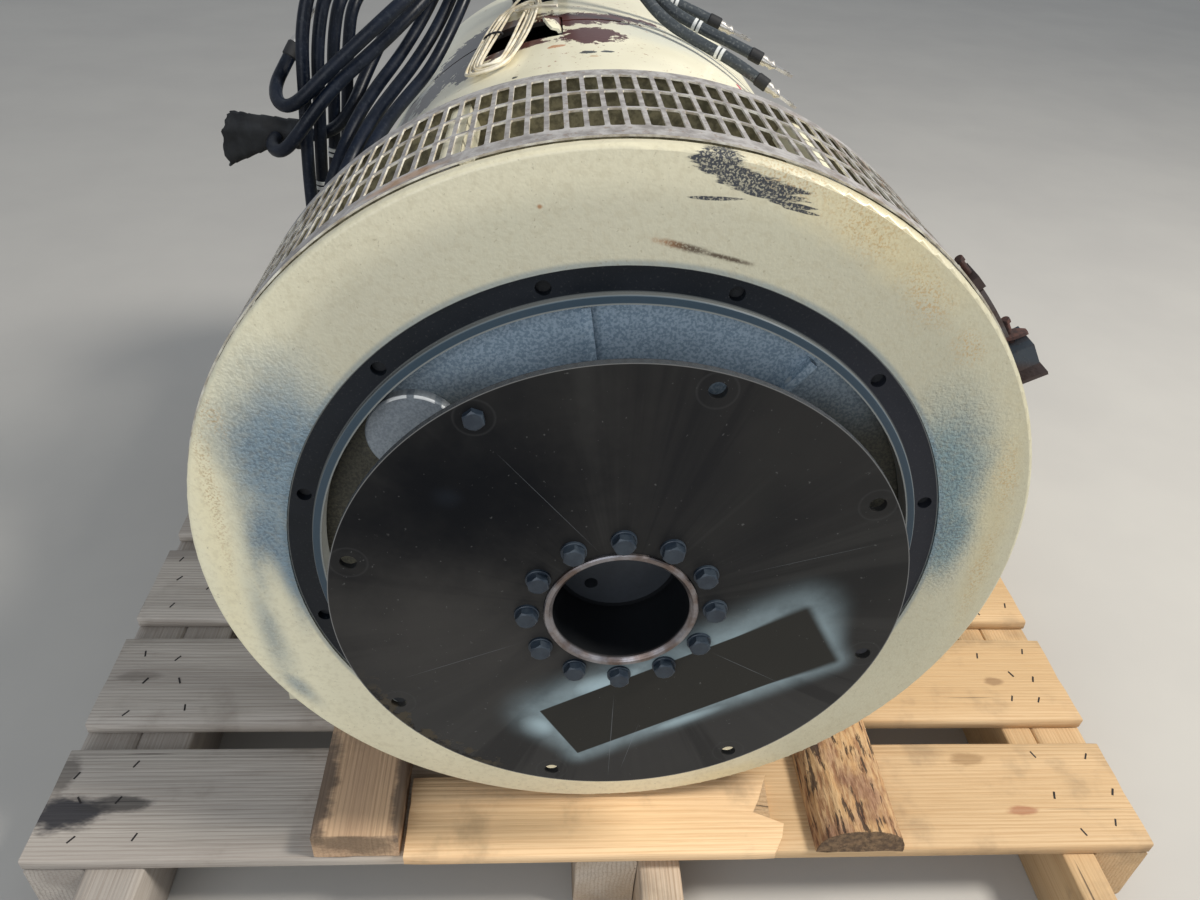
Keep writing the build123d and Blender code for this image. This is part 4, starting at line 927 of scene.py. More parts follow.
def threaded(shape, start, end, radius, pitch=1.25):
    """A threaded rod, with its thread as close grooves."""
    way = (end - start).normalized()
    steps = int((end - start).length / (pitch / 2))
    loft(shape, [ring(start + way * index * pitch / 2, way, radius - 0.35 * (index % 2), 16)
                 for index in range(steps + 1)])


# %% [markdown]
# ## Bolts on the discs
#
# Twelve blackened screws clamp the discs to the hub, each on its own washer, and one more is still
# in the discs' rim. A head is a loft of hexagons whose top is cut back to a circle. All of them turn
# with the rotor, so they ride on that body.

# %% Screws of the hub and the rim
DISC_FRONT = -60.0
TOWARDS_ENGINE = Vector((0, -1, 0))
FROM_ENGINE = Vector((0, 1, 0))
HUB_SCREWS = 12
HUB_CIRCLE_R = 76.7
HUB_BOLT_START = 2.5
# A head is so far across and so high, and its washer has so much radius and thickness.
HUB_HEAD = (16.0, 6.5, 10.2, 2.5)
RIM_CIRCLE_R = 219.075
RIM_BOLT_ANGLE = 121.5
RIM_HEAD = (14.4, 5.5)

shape = bmesh.new()
for index in range(HUB_SCREWS):
    seat = polar(HUB_CIRCLE_R, HUB_BOLT_START + index * 360 / HUB_SCREWS, DISC_FRONT)
    bolt_head(shape, seat, TOWARDS_ENGINE, *HUB_HEAD, random.uniform(0, 1))
hub_bolts = finish_piece("hub_bolt_heads", shape, bolt_black, "rotor", 25)
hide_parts("hub_bolts")

shape = bmesh.new()
bolt_head(shape, polar(RIM_CIRCLE_R, RIM_BOLT_ANGLE, DISC_FRONT), TOWARDS_ENGINE, *RIM_HEAD, start=0.35)
rim_piece = finish_piece("rim_bolt_head", shape, bolt_black, "rotor", 25)
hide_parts("rim_bolt")

# %% [markdown]
# ## Pads on the fan
#
# Two round pads stand out from the fan's plate. Their faces are machined, so they are paler than the
# casting, and the upper one's edge carries a painted highlight. Each is a short loft with a
# chamfer, and the highlight is a ring mask that a height and two small patches cut to an arc.

# %% Pads
PAD_R = 37.85
PAD_CIRCLE_R = 205.6
PAD_ANGLE = 144.6
PAD_FACE_Y = 12.6
PAD_CHAMFER = 1.2
FAN_FACE_Y = 22.0
ARC_GAPS = ((-168, 156, 3.4, 6, 0), (-147, 150, 3.2, 6, 0), (-198, 144, 16, 20, 0))

look = Finish("pad_machined", Roughness=0.5)
look.colour = look.spots(500.0, 0.5, 0.12, 4.0).mix((116, 124, 132), (136, 144, 150))
arc_highlight = look.ring(0.0366, 0.0008, 0.0006, polar(PAD_CIRCLE_R, PAD_ANGLE, 0.0) * MM) * look.z.step(0.132, 0.142)
look.lay(arc_highlight * ~look.zone(ARC_GAPS, Softness=0.3, Ragged=0.3, Grain=200.0), (245, 247, 246))
pad_machined = look.done(look.rough(600.0, 4.0), 0.0003, 0.5)
shape = bmesh.new()
for angle in (PAD_ANGLE, PAD_ANGLE + 180):
    profile = ((FAN_FACE_Y, PAD_R), (PAD_FACE_Y + PAD_CHAMFER, PAD_R), (PAD_FACE_Y, PAD_R - PAD_CHAMFER))
    loft(shape, [ring(polar(PAD_CIRCLE_R, angle, y), TOWARDS_ENGINE, radius, 64) for y, radius in profile])
finish_piece("fan_pads", shape, pad_machined, "rotor")

# %% [markdown]
# ## Painted shade in the flange's holes, and screws and a dark sheet at the rear
#
# The flange's holes are tapped, and a black disc deep inside each one is painted shade, so that
# they end in darkness. At the rear a ring of screws holds the bracket, and four hold the bearing's
# cap. A dark sheet inside the rear grille is painted shade for the inside of the machine, and it
# keeps daylight from falling through.

# %% Painted shade in the holes, rear screws and the grille's dark sheet
FLANGE_HOLES = 12
FLANGE_CIRCLE_R = 265.1
HOLE_SHADE_Y = 7.0
HOLE_SHADE_R = 5.9
HOLE_SHADE_THICK = 2.0
REAR_SCREWS = (
    # count, circle, seat, size of the head as above, turn from one to the next
    (8, 294.0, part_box("rear_bracket")[1][1] / MM, (17.0, 8.0, 13.0, 2.0), 0.4),
    (4, 66.0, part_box("bearing_cap")[1][1] / MM, (13.0, 6.0, 9.5, 1.5), 0.7),
)
SHADE_SHEET_REACH = (103.0, 263.0)
SHADE_SHEET_THICK = 0.8
SHADE_SHEET_DEPTH = 2.2
SHADE_SHEET_SIDES = 72

shape = bmesh.new()
for index in range(FLANGE_HOLES):
    angle = (index + 0.5) * 360 / FLANGE_HOLES
    depths = (HOLE_SHADE_Y, HOLE_SHADE_Y + HOLE_SHADE_THICK)
    loft(shape, [ring(polar(FLANGE_CIRCLE_R, angle, y), TOWARDS_ENGINE, HOLE_SHADE_R) for y in depths])
finish_piece("flange_hole_shade", shape, tape_dull)

shape = bmesh.new()
for count, circle, seat_y, sizes, turn in REAR_SCREWS:
    for index in range(count):
        seat = polar(circle, (index + 0.5) * 360 / count, seat_y)
        bolt_head(shape, seat, FROM_ENGINE, *sizes, index * turn)
finish_piece("rear_screws", shape, bolt_black, sharp=25)

shape = bmesh.new()
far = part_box("inlet_grille")[0][1] / MM - SHADE_SHEET_DEPTH
near = far - SHADE_SHEET_THICK
inner, outer = SHADE_SHEET_REACH
profile = ((inner, near), (outer, near), (outer, far), (inner, far))
turns = [index * 360 / SHADE_SHEET_SIDES for index in range(SHADE_SHEET_SIDES)]
loft(shape, [[polar(radius, angle, y) for angle in turns] for radius, y in profile], closed=True)
finish_piece("grille_shade_sheet", shape, tape_dull)

# %% [markdown]
# ## The screen
#
# The screen is one punched sheet, rolled round the fan's outlet: 164 columns of slots in three
# rows. A flat pattern is the simplest start. Each slot gets a ring of eight faces round its cut
# corners, neighbours share their points, and rolling up is then only a change of coordinates. The
# sheet is given its thickness at the end, and slow waves keep it from looking turned.

# %% One cell of the sheet
SCREEN_R = 359.0
SCREEN_THICK = 1.5
SCREEN_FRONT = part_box("fan_screen")[0][1] / MM
SCREEN_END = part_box("fan_screen")[1][1] / MM
FRONT_BORDER = 20.0
REAR_BORDER = 17.0
SLOT_COLUMNS = 164
SLOT_ROWS = 3
BAR_WIDTH = 3.6
CROSS_BAR = 3.6
SLOT_CORNER = 1.2
BULGE = 0.7
POINTS_A_MM = 20

column_pitch = math.tau * SCREEN_R / SLOT_COLUMNS
row_pitch = (SCREEN_END - SCREEN_FRONT - FRONT_BORDER - REAR_BORDER + CROSS_BAR) / SLOT_ROWS
slot_wide, slot_high = (column_pitch - BAR_WIDTH) / 2, (row_pitch - CROSS_BAR) / 2
slot_short, slot_low = slot_wide - SLOT_CORNER, slot_high - SLOT_CORNER
first_row = SCREEN_FRONT + FRONT_BORDER - CROSS_BAR / 2
shape = bmesh.new()
corners = {}


def sheet_face(outline):
    """A face of the flat pattern, rolled up; faces that meet share their points."""
    points = []
    for u, y in outline:
        whole_round = round(column_pitch * SLOT_COLUMNS * POINTS_A_MM)
        key = (round(u * POINTS_A_MM) % whole_round, round(y * POINTS_A_MM))
        if key not in corners:
            angle = math.degrees(u / SCREEN_R)
            wave = BULGE * noise.noise(polar(3.0, angle, y * 0.012))
            corners[key] = shape.verts.new(polar(SCREEN_R + wave, angle, y) * MM)
        points.append(corners[key])
    shape.faces.new(points)


def punched_cell(middle, centre_y):
    """The eight faces round one slot."""
    half, long = column_pitch / 2, row_pitch / 2
    wide, high, short, low = slot_wide, slot_high, slot_short, slot_low
    for side in (-1, 1):
        outlines = [
            [(side * wide, -low), (side * half, -low), (side * half, low), (side * wide, low)],
            [(-short, side * high), (-short, side * long), (short, side * long), (short, side * high)],
        ]
        for end in (-1, 1):
            outlines.append([(side * wide, end * low), (side * half, end * low), (side * half, end * long),
                             (side * short, end * long), (side * short, end * high)])
        for outline in outlines:
            sheet_face([(middle + u, centre_y + v) for u, v in outline])


# %% Punch all its columns, close its ends and thicken it
for column in range(SLOT_COLUMNS):
    middle = (column + 0.5) * column_pitch
    for row in range(SLOT_ROWS):
        punched_cell(middle, first_row + (row + 0.5) * row_pitch)
    stops = [middle + u for u in (-column_pitch / 2, -slot_short, slot_short, column_pitch / 2)]
    for start_y, end_y in ((SCREEN_FRONT, first_row), (first_row + SLOT_ROWS * row_pitch, SCREEN_END)):
        for left, right in zip(stops, stops[1:]):
            sheet_face([(left, start_y), (right, start_y), (right, end_y), (left, end_y)])
bmesh.ops.recalc_face_normals(shape, faces=shape.faces[:])
bmesh.ops.solidify(shape, geom=shape.faces[:], thickness=SCREEN_THICK * MM)
# The slots' side walls get the second material, a painted highlight.
for face in shape.faces:
    middle = face.calc_center_median()
    if abs(Vector((middle.x, 0, middle.z)).normalized().dot(face.normal)) < 0.6:
        face.material_index = 1
print("screen faces", len(shape.faces))

# %% Finish of the screen: dull zinc, with rust on its right and on its front border
look = Finish("screen_zinc", Metallic=0.25)
cloud = look.spots(70.0, 0.5, 0.16, 5.0)
look.colour = cloud.mix((186, 182, 178), (136, 131, 128))
look.lay(look.spots(60.0, 0.56, 0.07, 5.0) * look.x.step(0.10, 0.20), (126, 88, 56), 0.75)
border_rust = look.patch((-166, 28, 318), (44, 10, 40), Softness=0.6, Ragged=0.8, Grain=40.0)
look.lay(border_rust, (172, 128, 84), 0.6)
look.lay(look.spots(190.0, 0.62, 0.04, 4.0), (120, 90, 62), 0.5)
screen_zinc = look.done(look.rough(330.0, 4.0), 0.0004, 0.6, Roughness=cloud.step(0.0, 1.0, 0.44, 0.6))
screen = finish_piece("slotted_screen", shape, screen_zinc)
screen.data.materials.append(slot_wall_highlight)
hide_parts("fan_screen", "screen_hoops")

# %% [markdown]
# ## The screen's clamp
#
# The screen's ends are drawn together on the right flank by two rusty screws. Each is a threaded
# rod with a hexagon head at one end, and the lower one passes a small bent ear.

# %% Clamp screws
CLAMP_Y = 40.0
CLAMP_SEAT_R = 359.3
ROD_R = 2.4
ROD_GAP = 0.3
UPPER_R = CLAMP_SEAT_R + ROD_GAP + ROD_R
LOWER_R = UPPER_R + 4.0
CLAMP_RODS = (
    # radius and angle of its place, length of the block that it passes, its own length
    (UPPER_R, 45.05, 11.0, 17.0), (LOWER_R, 32.1, 19.0, 24.0),
)
ROD_HEAD = (6.6, 4.0)
EAR_ANGLE = 34.6
EAR_HALF_THICK = 2.0
EAR_PROFILE = (
    # height off the rod's axis, half width and lean
    (-5, 6.0, 1.5), (4, 6.0, -0.5), (10, 4.0, -2.6), (13, 2.2, -4.0),
)
EAR_SECTION = ((-1, -0.7), (-0.8, -1), (0.8, -1), (1, -0.7), (1, 0.7), (0.8, 1), (-0.8, 1), (-1, 0.7))

shape = bmesh.new()
for radius, angle, block_length, length in CLAMP_RODS:
    along = along_round(angle)[1]
    start = polar(radius, angle, CLAMP_Y) + along * (block_length / 2)
    end = start + along * length
    threaded(shape, start, end - along * 4.0, ROD_R)
    bolt_head(shape, end - along * 4.5, along, *ROD_HEAD)
out, along = along_round(EAR_ANGLE)
foot = polar(LOWER_R, EAR_ANGLE, CLAMP_Y)
rings = []
for lift, wide, lean in EAR_PROFILE:
    middle = foot + out * lift + along * lean
    rings.append([middle + along * EAR_HALF_THICK * v + FROM_ENGINE * wide * u for u, v in EAR_SECTION])
loft(shape, rings)
clamp_screws = finish_piece("clamp_screws", shape, rust_coarse, sharp=30)
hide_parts("clamp_bolts")

# %% [markdown]
# ## Boards and timbers
#
# A sawn board isn't a box: its edges are broken, its faces are a little hollow and its ends are
# frayed. Each one is a loft of worn rectangles along its length, pushed about by noise that changes
# slowly along the grain and fast across it. The wear only takes wood away, so every board stays
# within the solid that it replaces.

# %% A worn board
BOARDS = 7
BOARD_WIDTH = 136.0
BOARD_PITCH = 168.0
STATION = 22.0


def worn_section(wide, high, bevel):
    """A rectangle with broken corners and points along its sides, centred on 0, 0."""
    half_wide, half_high = wide / 2, high / 2
    across = [-half_wide + bevel + (wide - 2 * bevel) * share / 6 for share in range(7)]
    upward = [-half_high + bevel + (high - 2 * bevel) * share / 2 for share in range(3)]
    points = [(u, -half_high) for u in across] + [(half_wide, v) for v in upward]
    return points + [(u, half_high) for u in reversed(across)] + [(-half_wide, v) for v in reversed(upward)]


def worn_board(name, low, high, along, finish, wear=0.8, bevel=1.6, end_of=None):
    """A board between two corners; end_of gives how far short it ends at each place across it."""
    low, high = Vector(low), Vector(high)
    axis = 0 if along == "X" else 1
    across = 1 - axis
    length = high[axis] - low[axis]
    middle = (low + high) / 2
    section = worn_section(high[across] - low[across], high.z - low.z, bevel)
    count = max(8, round(length / STATION))
    rings = []
    for index in range(count + 1):
        at_end = index in (0, count)
        points = []
        for u, v in section:
            point = Vector((0, 0, middle.z + v))
            point[across] = middle[across] + u
            point[axis] = low[axis] + index / count * (length - (end_of(u) if end_of else 0.0))
            seed = point * 0.004
            seed[across] *= 9
            seed[2] *= 9
            push = wear * (0.5 + 0.5 * noise.noise(seed * 2.0)) + (0.75 if at_end else 0.0)
            inward = Vector((0, 0, -v))
            inward[across] = -u
            fray = 1.2 * noise.noise(point * 0.09) if at_end else 0.0
            point += inward.normalized() * push
            point[axis] += (1.0 + fray) * (1 if index == 0 else -1 if index == count else 0)
            points.append(point)
        rings.append(points)
    shape = bmesh.new()
    loft(shape, rings)
    return finish_piece(name, shape, finish, sharp=50)


# %% Make the deck and its timbers
deck_low, deck_high = [Vector(corner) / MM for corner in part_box("deck_boards")]
for number in range(BOARDS):
    front = deck_low.y + number * BOARD_PITCH
    board = worn_board(f"deck_board_{number + 1}", (deck_low.x, front, deck_low.z),
                       (deck_high.x, front + BOARD_WIDTH, deck_high.z), "X", deck_wood)
    if number == 0:
        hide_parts("deck_boards")

TIMBERS = {
    # name: left face, width, how far it runs out in front, and the node that it replaces
    "left_timber": (-592.0, 62.0, 0, "flush_timbers"), "middle_timber": (-21.0, 68.0, 0, None),
    "right_timber": (563.0, 64.0, 0, None), "left_forward_timber": (-530.0, 61.0, 90, "forward_timbers"),
    "middle_forward_timber": (47.0, 45.0, 90, None), "right_forward_timber": (524.0, 39.0, 90, None),
}
timber_low, timber_high = [Vector(corner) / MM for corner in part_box("flush_timbers")]
for timber_name, (left, width, reach, node) in TIMBERS.items():
    front_corner = (left, timber_low.y - reach, timber_low.z)
    rear_corner = (left + width, timber_high.y, timber_high.z)
    timber = worn_board(timber_name, front_corner, rear_corner, "Y", timber_wood, 0.5, 2.5)
    if node:
        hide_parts(node)

# %% Make the loose plank with its broken end, and the flat chock
BREAK = ((-48.0, 17.0), (-16.0, 0.0), (0.0, 34.0), (48.0, 11.0))


def broken_end(u):
    """How far short of its full length the loose plank is, across its width."""
    for (near, first), (far, second) in zip(BREAK, BREAK[1:]):
        if u <= far:
            share = max(0.0, (u - near) / (far - near))
            return first + (second - first) * share + 3 * noise.noise(Vector((u * 0.3, 4.0, 0.0)))
    return BREAK[-1][1]


plank_low, plank_high = [Vector(corner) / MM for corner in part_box("loose_plank")]
plank = worn_board("loose_plank_worn", plank_low, plank_high, "X", plank_wood, 0.7,
                   end_of=broken_end)
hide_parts("loose_plank")
chock_low, chock_high = [Vector(corner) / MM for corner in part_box("flat_chock")]
chock = worn_board("flat_chock_worn", chock_low, chock_high, "Y", chock_wood, 0.5, 2.0)
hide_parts("flat_chock")
print("boards", BOARDS, "timbers", len(TIMBERS), "deck top", round(deck_high.z))

# %% [markdown]
# ## The split log
#
# The right foot stands on a half-round log with its bark on. Bark splits into long plates, so the
# surface is a half-round loft whose points are pushed in by noise that is stretched along the log.
# Under the foot the furrows of its top are shallow.

# %% Make the log
log_low, log_high = [Vector(corner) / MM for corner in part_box("log_chock")]
LOG_STATION = 6.0
LOG_POINTS = 46
LOG_UNDER_POINTS = 8
FOOT_FRONT = 125.0


def log_ring(y):
    """The log's section: flat below, half round above, and furrowed."""
    half = (log_high.x - log_low.x) / 2
    centre = (log_high.x + log_low.x) / 2
    tall = log_high.z - log_low.z
    points = []
    for index in range(LOG_POINTS + 1):
        turn = math.pi * index / LOG_POINTS
        wide = math.copysign(abs(math.cos(turn)) ** 0.82, math.cos(turn))
        high = math.sin(turn) ** 0.72 if 0 < index < LOG_POINTS else 0.0
        place = Vector((turn * 30, y * 0.12, 0.0))
        furrow = abs(noise.noise(place * 0.13)) * 3.2 + abs(noise.noise(place * 0.42)) * 2.0
        furrow *= high if y < FOOT_FRONT or high < 0.93 else 0.15
        points.append(Vector((centre + (half - furrow) * wide, y, log_low.z + (tall - furrow) * high)))
    for index in range(1, LOG_UNDER_POINTS):
        points.append(Vector((centre - half + 2 * half * index / LOG_UNDER_POINTS, y, log_low.z)))
    return points


shape = bmesh.new()
stations = math.ceil((log_high.y - log_low.y) / LOG_STATION)
rings = [log_ring(log_low.y + index * LOG_STATION) for index in range(stations)] + [log_ring(log_high.y)]
for vertex in loft(shape, rings)[0]:
    vertex.co.y += 0.002 * noise.noise(vertex.co * 90)
log = finish_piece("split_log", shape, log_bark, sharp=60)
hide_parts("log_chock")
print("log rings", len(rings))

# %% [markdown]
# ## Staples
#
# Each board is stapled to each timber below it. The staples' backs show as short dark dashes that
# lie a little askew, and a loop places three for every crossing.

# %% Staples in the boards
STAPLE_HALF = 4.8
STAPLE_WIDTH = 2.0
STAPLE_SPACING = 42
STAPLE_SUNK = 3.0
STAPLE_PROUD = 0.1

shape = bmesh.new()
for number in range(BOARDS):
    for left, width, _, _ in TIMBERS.values():
        for side in (-1, 0, 1):
            board_middle = deck_low.y + number * BOARD_PITCH + BOARD_WIDTH / 2
            middle_y = board_middle + side * STAPLE_SPACING + random.uniform(-10, 10)
            middle_x = left + width / 2 + random.uniform(-20, 20)
            turn = math.radians(random.uniform(50, 80) * random.choice((1, 1, 1, -1)))
            along = Vector((math.cos(turn), math.sin(turn), 0))
            aside = Vector((-along.y, along.x, 0)) * STAPLE_WIDTH / 2
            rings = []
            for end in (-1, 1):
                top = Vector((middle_x, middle_y, deck_high.z + STAPLE_PROUD)) + along * STAPLE_HALF * end
                low = top - Vector((0, 0, STAPLE_SUNK + STAPLE_PROUD))
                rings.append([low - aside, top - aside, top + aside, low + aside])
            loft(shape, rings)
finish_piece("deck_staples", shape, nail_steel)

# %% [markdown]
# ## The torn lip at the hand hole
#
# The sheet at the hole's rear corner has been bent up and torn. It is a small curled strip with
# its own thickness, which stands on the shell's edge.

# %% Torn lip
SHELL_R = 307.0
LIP_START = 600.0
LIP_LENGTH = 72.0
LIP_STEPS = 12

shape = bmesh.new()
rings = []
for index in range(LIP_STEPS + 1):
    share = index / LIP_STEPS
    y = LIP_START + LIP_LENGTH * share
    curl = math.sin(math.pi * min(1.0, share * 1.25)) ** 0.7
    ragged = 1.6 * noise.noise(Vector((share * 9, 2, 0)))
    rings.append([
        polar(SHELL_R - 4, 98.9, y), polar(SHELL_R + 2 + 5 * curl, 99.6 + 0.8 * curl, y),
        polar(SHELL_R + 4 + 8 * curl + ragged, 101.0 + 1.6 * curl, y + 2),
        polar(SHELL_R + 2 + 8 * curl + ragged, 101.4 + 1.6 * curl, y + 2),
        polar(SHELL_R + 3.4 * curl, 100.2 + 0.8 * curl, y), polar(SHELL_R - 6, 99.5, y),
    ])
loft(shape, rings)
finish_piece("torn_lip", shape, shell_paint, sharp=40)

# %% [markdown]
# ## The leads
#
# Thirteen rubber cables stand in a grommet on top of the shell. Each is one smooth line: a NURBS
# curve whose control points are listed below, the same points that the solid tubes follow. The
# curve is given a round section by its bevel, which keeps it a curve that can still be measured.

# %% Where the leads stand and run
LEAD_R = 7.0
GROMMET_FACE_R = 303.0
GROMMET_ANGLE = 104.0
OPENING_FRONT = 796.0
LEAD_COLUMNS = (-31.0, -10.5, 10.5, 31.0)
LEAD_ROWS = (13.0, 35.0, 57.0, 79.0)
LEAD_STRAIGHT = 42.0
TAPED_RIGHT = -348.0
TAPED_FRONT = 484.0
LEADS = {
    # name: column and row in the grommet, and the points past its straight start
    "lead_hanging_1": (1, 0, [
        (-110, 780, 360), (-142, 732, 396), (-196, 642, 408), (-250, 556, 404), (-306, 480, 374),
        (-323, 461, 322), (-327, 455, 250), (-333, 453, 165), (-334, 452, 78), (-331, 455, -8),
    ]),
    "lead_hanging_2": (1, 1, [
        (-110, 802, 360), (-142, 759, 392), (-196, 672, 396), (-248, 584, 390), (-298, 500, 362),
        (-313, 482, 305), (-318, 476, 225), (-325, 477, 145), (-328, 481, 60), (-326, 483, -24),
    ]),
    "lead_hanging_3": (1, 2, [
        (-110, 824, 360), (-142, 784, 388), (-198, 702, 386), (-246, 616, 378), (-291, 537, 350),
        (-304, 520, 298), (-309, 514, 225), (-317, 512, 145), (-322, 515, 68), (-322, 518, -8),
    ]),
    "lead_hanging_4": (1, 3, [
        (-110, 846, 360), (-142, 808, 384), (-200, 732, 376), (-244, 652, 365), (-286, 572, 336),
        (-296, 558, 280), (-303, 552, 205), (-313, 552, 125), (-319, 556, 45), (-320, 559, -34),
    ]),
    "lead_looped_1": (2, 0, [
        (-76, 778, 367), (-86, 722, 390), (-104, 646, 402), (-132, 566, 400), (-166, 498, 388),
        (-208, 450, 358), (-254, 431, 320), (-296, 421, 284), (-324, 419, 257), (-341, 425, 249),
        (-354, 442, 252), (-358, 464, 262), (-350, 484, 278), (-338, 494, 298),
    ]),
    "lead_looped_2": (2, 1, [
        (-84, 800, 366), (-100, 746, 386), (-122, 672, 392), (-148, 596, 386), (-175, 528, 370),
        (-206, 475, 340), (-245, 452, 306), (-279, 431, 280), (-303, 420, 256), (-328, 416, 225),
        (-346, 423, 205), (-361, 438, 197), (-372, 461, 198), (-372, TAPED_FRONT, 198),
    ]),
    "lead_taped": (0, 3, [
        (-146, 851, 350), (-188, 806, 360), (-208, 730, 358), (-224, 652, 335), (-252, 585, 300),
        (-274, 537, 258), (-290, 504, 222), (-318, 495, 198), (TAPED_RIGHT, 495, 198),
    ]),
    "lead_shoulder_1": (0, 0, [
        (-127, 780, 356), (-140, 732, 362), (-146, 680, 366), (-152, 628, 354), (-177, 578, 303),
        (-200, 533, 266), (-221, 480, 250), (-236, 420, 239), (-250, 362, 220), (-273, 324, 175),
        (-304, 304, 108), (-320, 298, 32), (-322, 300, -44),
    ]),
    "lead_shoulder_2": (0, 1, [
        (-134, 804, 356), (-156, 758, 363), (-166, 704, 362), (-172, 652, 346), (-193, 600, 304),
        (-219, 548, 269), (-239, 490, 251), (-254, 428, 237), (-267, 368, 216), (-290, 340, 168),
        (-317, 330, 95), (-325, 334, 15), (-324, 338, -65),
    ]),
    "lead_shoulder_3": (0, 2, [
        (-140, 826, 355), (-172, 784, 362), (-184, 730, 362), (-192, 678, 346), (-212, 624, 308),
        (-238, 568, 272), (-260, 505, 250), (-275, 440, 230), (-293, 396, 188), (-314, 376, 120),
        (-324, 370, 45), (-323, 374, -30),
    ]),
    "lead_right_1": (3, 0, [
        (-48, 780, 374), (-34, 728, 390), (4, 676, 376), (40, 650, 350), (76, 627, 315),
        (122, 608, 295), (166, 588, 279), (204, 568, 258),
    ]),
    "lead_right_2": (3, 1, [
        (-38, 806, 376), (-8, 758, 394), (28, 706, 380), (54, 680, 352), (82, 657, 324),
        (127, 640, 305), (170, 627, 291), (203, 616, 278),
    ]),
    "lead_right_3": (3, 2, [
        (-34, 830, 378), (4, 794, 392), (34, 744, 380), (52, 712, 352), (78, 697, 330),
        (119, 689, 317), (157, 681, 303),
    ]),
}


# %% Lines that pieces can follow
def lead_points(name):
    """The lead's control points, from the grommet's face on."""
    column, row, rest = LEADS[name]
    out, leftwards = along_round(GROMMET_ANGLE)
    start = polar(GROMMET_FACE_R, GROMMET_ANGLE, OPENING_FRONT + LEAD_ROWS[row])
    start -= leftwards * LEAD_COLUMNS[column]
    return [start, start + out * LEAD_STRAIGHT] + [Vector(point) for point in rest]


def smooth_curve(name, points, radius, segments=6):
    """A round cable: NURBS of order 3 that starts and ends on its end points. The bevel is 1 m and the
    points' radii scale it down, so that the curve's box is true."""
    curve = bpy.data.curves.new(name, "CURVE")
    curve.dimensions = "3D"
    curve.resolution_u = 12
    curve.bevel_depth = 1.0
    curve.bevel_resolution = segments
    curve.use_fill_caps = True
    spline = curve.splines.new("NURBS")
    spline.points.add(len(points) - 1)
    for control, point in zip(spline.points, points):
        control.co = (*(Vector(point) * MM), 1.0)
        control.radius = radius * MM
    spline.order_u = 3
    spline.use_endpoint_u = True
    piece = bpy.data.objects.new(name, curve)
    bpy.context.scene.collection.objects.link(piece)
    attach(piece, "frame")
    return piece


def centre_line(piece):
    """The points, in millimetres, that a curve passes through, read with its section off for a moment."""
    depth = piece.data.bevel_depth
    piece.data.bevel_depth = 0.0
    bpy.context.view_layer.update()
    line = bpy.data.meshes.new_from_object(piece.evaluated_get(bpy.context.evaluated_depsgraph_get()))
    piece.data.bevel_depth = depth
    points = [vertex.co / MM for vertex in line.vertices]
    bpy.data.meshes.remove(line)
    return points


def line_length(points):
    return sum((after - before).length for before, after in zip(points, points[1:]))


def walk(points, distance):
    """The point and the direction at that distance from the line's end, going back along it."""
    left = distance
    for after, before in zip(reversed(points), reversed(points[:-1])):
        run = (after - before).length
        if run and left <= run:
            return after + (before - after) * left / run, (after - before).normalized()
        left -= run
    return points[0], (points[1] - points[0]).normalized()


def collar(shape, points, start, end, radius, ends):
    """A sleeve on a line, from one distance before its end to another, with softened edges."""
    rings = []
    for distance, sink in ((start, 1.2), (start + ends, 0.0), (end - ends, 0.0), (end, 1.2)):
        centre, way = walk(points, distance)
        rings.append(ring(centre, way, radius - sink))
    loft(shape, rings)


# %% [markdown]
# ## Ends of the leads
#
# Each free lead ends in a ring lug: a barrel crimped on the strands, which is pressed flat into a
# palm with a hole for a stud. A black sleeve covers where the barrel meets the rubber. The lug is a
# loft from a circle to a flat section, and the palm is a plate whose outline runs round its hole.

# %% Lug, sleeve and tags
BARREL_R = 6.5
PALM_HALF = 9.5
PALM_THICK = 3.5
PALM_BACK = 15.0
PALM_CENTRE = 34.5
HOLE_R = 5.25
LUG_RINGS = (
    # how far along, half breadth and half thickness
    (-1.0, BARREL_R, BARREL_R), (5.0, BARREL_R, BARREL_R),
    (7.0, BARREL_R + 0.6, BARREL_R - 1.6), (11.0, BARREL_R + 0.6, BARREL_R - 1.6),
    (13.0, BARREL_R, BARREL_R - 0.2), (15.0, BARREL_R, BARREL_R - 0.6), (18.0, BARREL_R + 1.4, 3.2),
    (20.5, PALM_HALF, PALM_THICK / 2), (24.0, PALM_HALF, PALM_THICK / 2),
)


def ring_lug(name, end, way):
    """A lug on a lead's end: way is the lead's direction there."""
    thick_way = way.cross(FROM_ENGINE).normalized()
    broad_way = way.cross(thick_way).normalized()
    shape = bmesh.new()
    turns = [math.tau * index / 24 for index in range(24)]
    loft(shape, [[end + way * along + broad_way * broad * math.cos(turn) + thick_way * thick * math.sin(turn)
                  for turn in turns] for along, broad, thick in LUG_RINGS])
    centre = end + way * PALM_CENTRE
    outline = []
    hole = []
    for index in range(32):
        turn = math.tau * index / 32
        forward, aside = math.cos(turn), math.sin(turn)
        direction = way * forward + broad_way * aside
        reach = PALM_HALF
        if forward < 0:
            reach = min(PALM_HALF / max(abs(aside), 0.01), PALM_BACK / abs(forward))
        outline.append(centre + direction * reach)
        hole.append(centre + direction * HOLE_R)
    half = thick_way * PALM_THICK / 2
    edges = ((outline, half), (hole, half), (hole, -half), (outline, -half))
    loft(shape, [[point + side for point in points] for points, side in edges], closed=True)
    return finish_piece(name, shape, tinned, sharp=40)


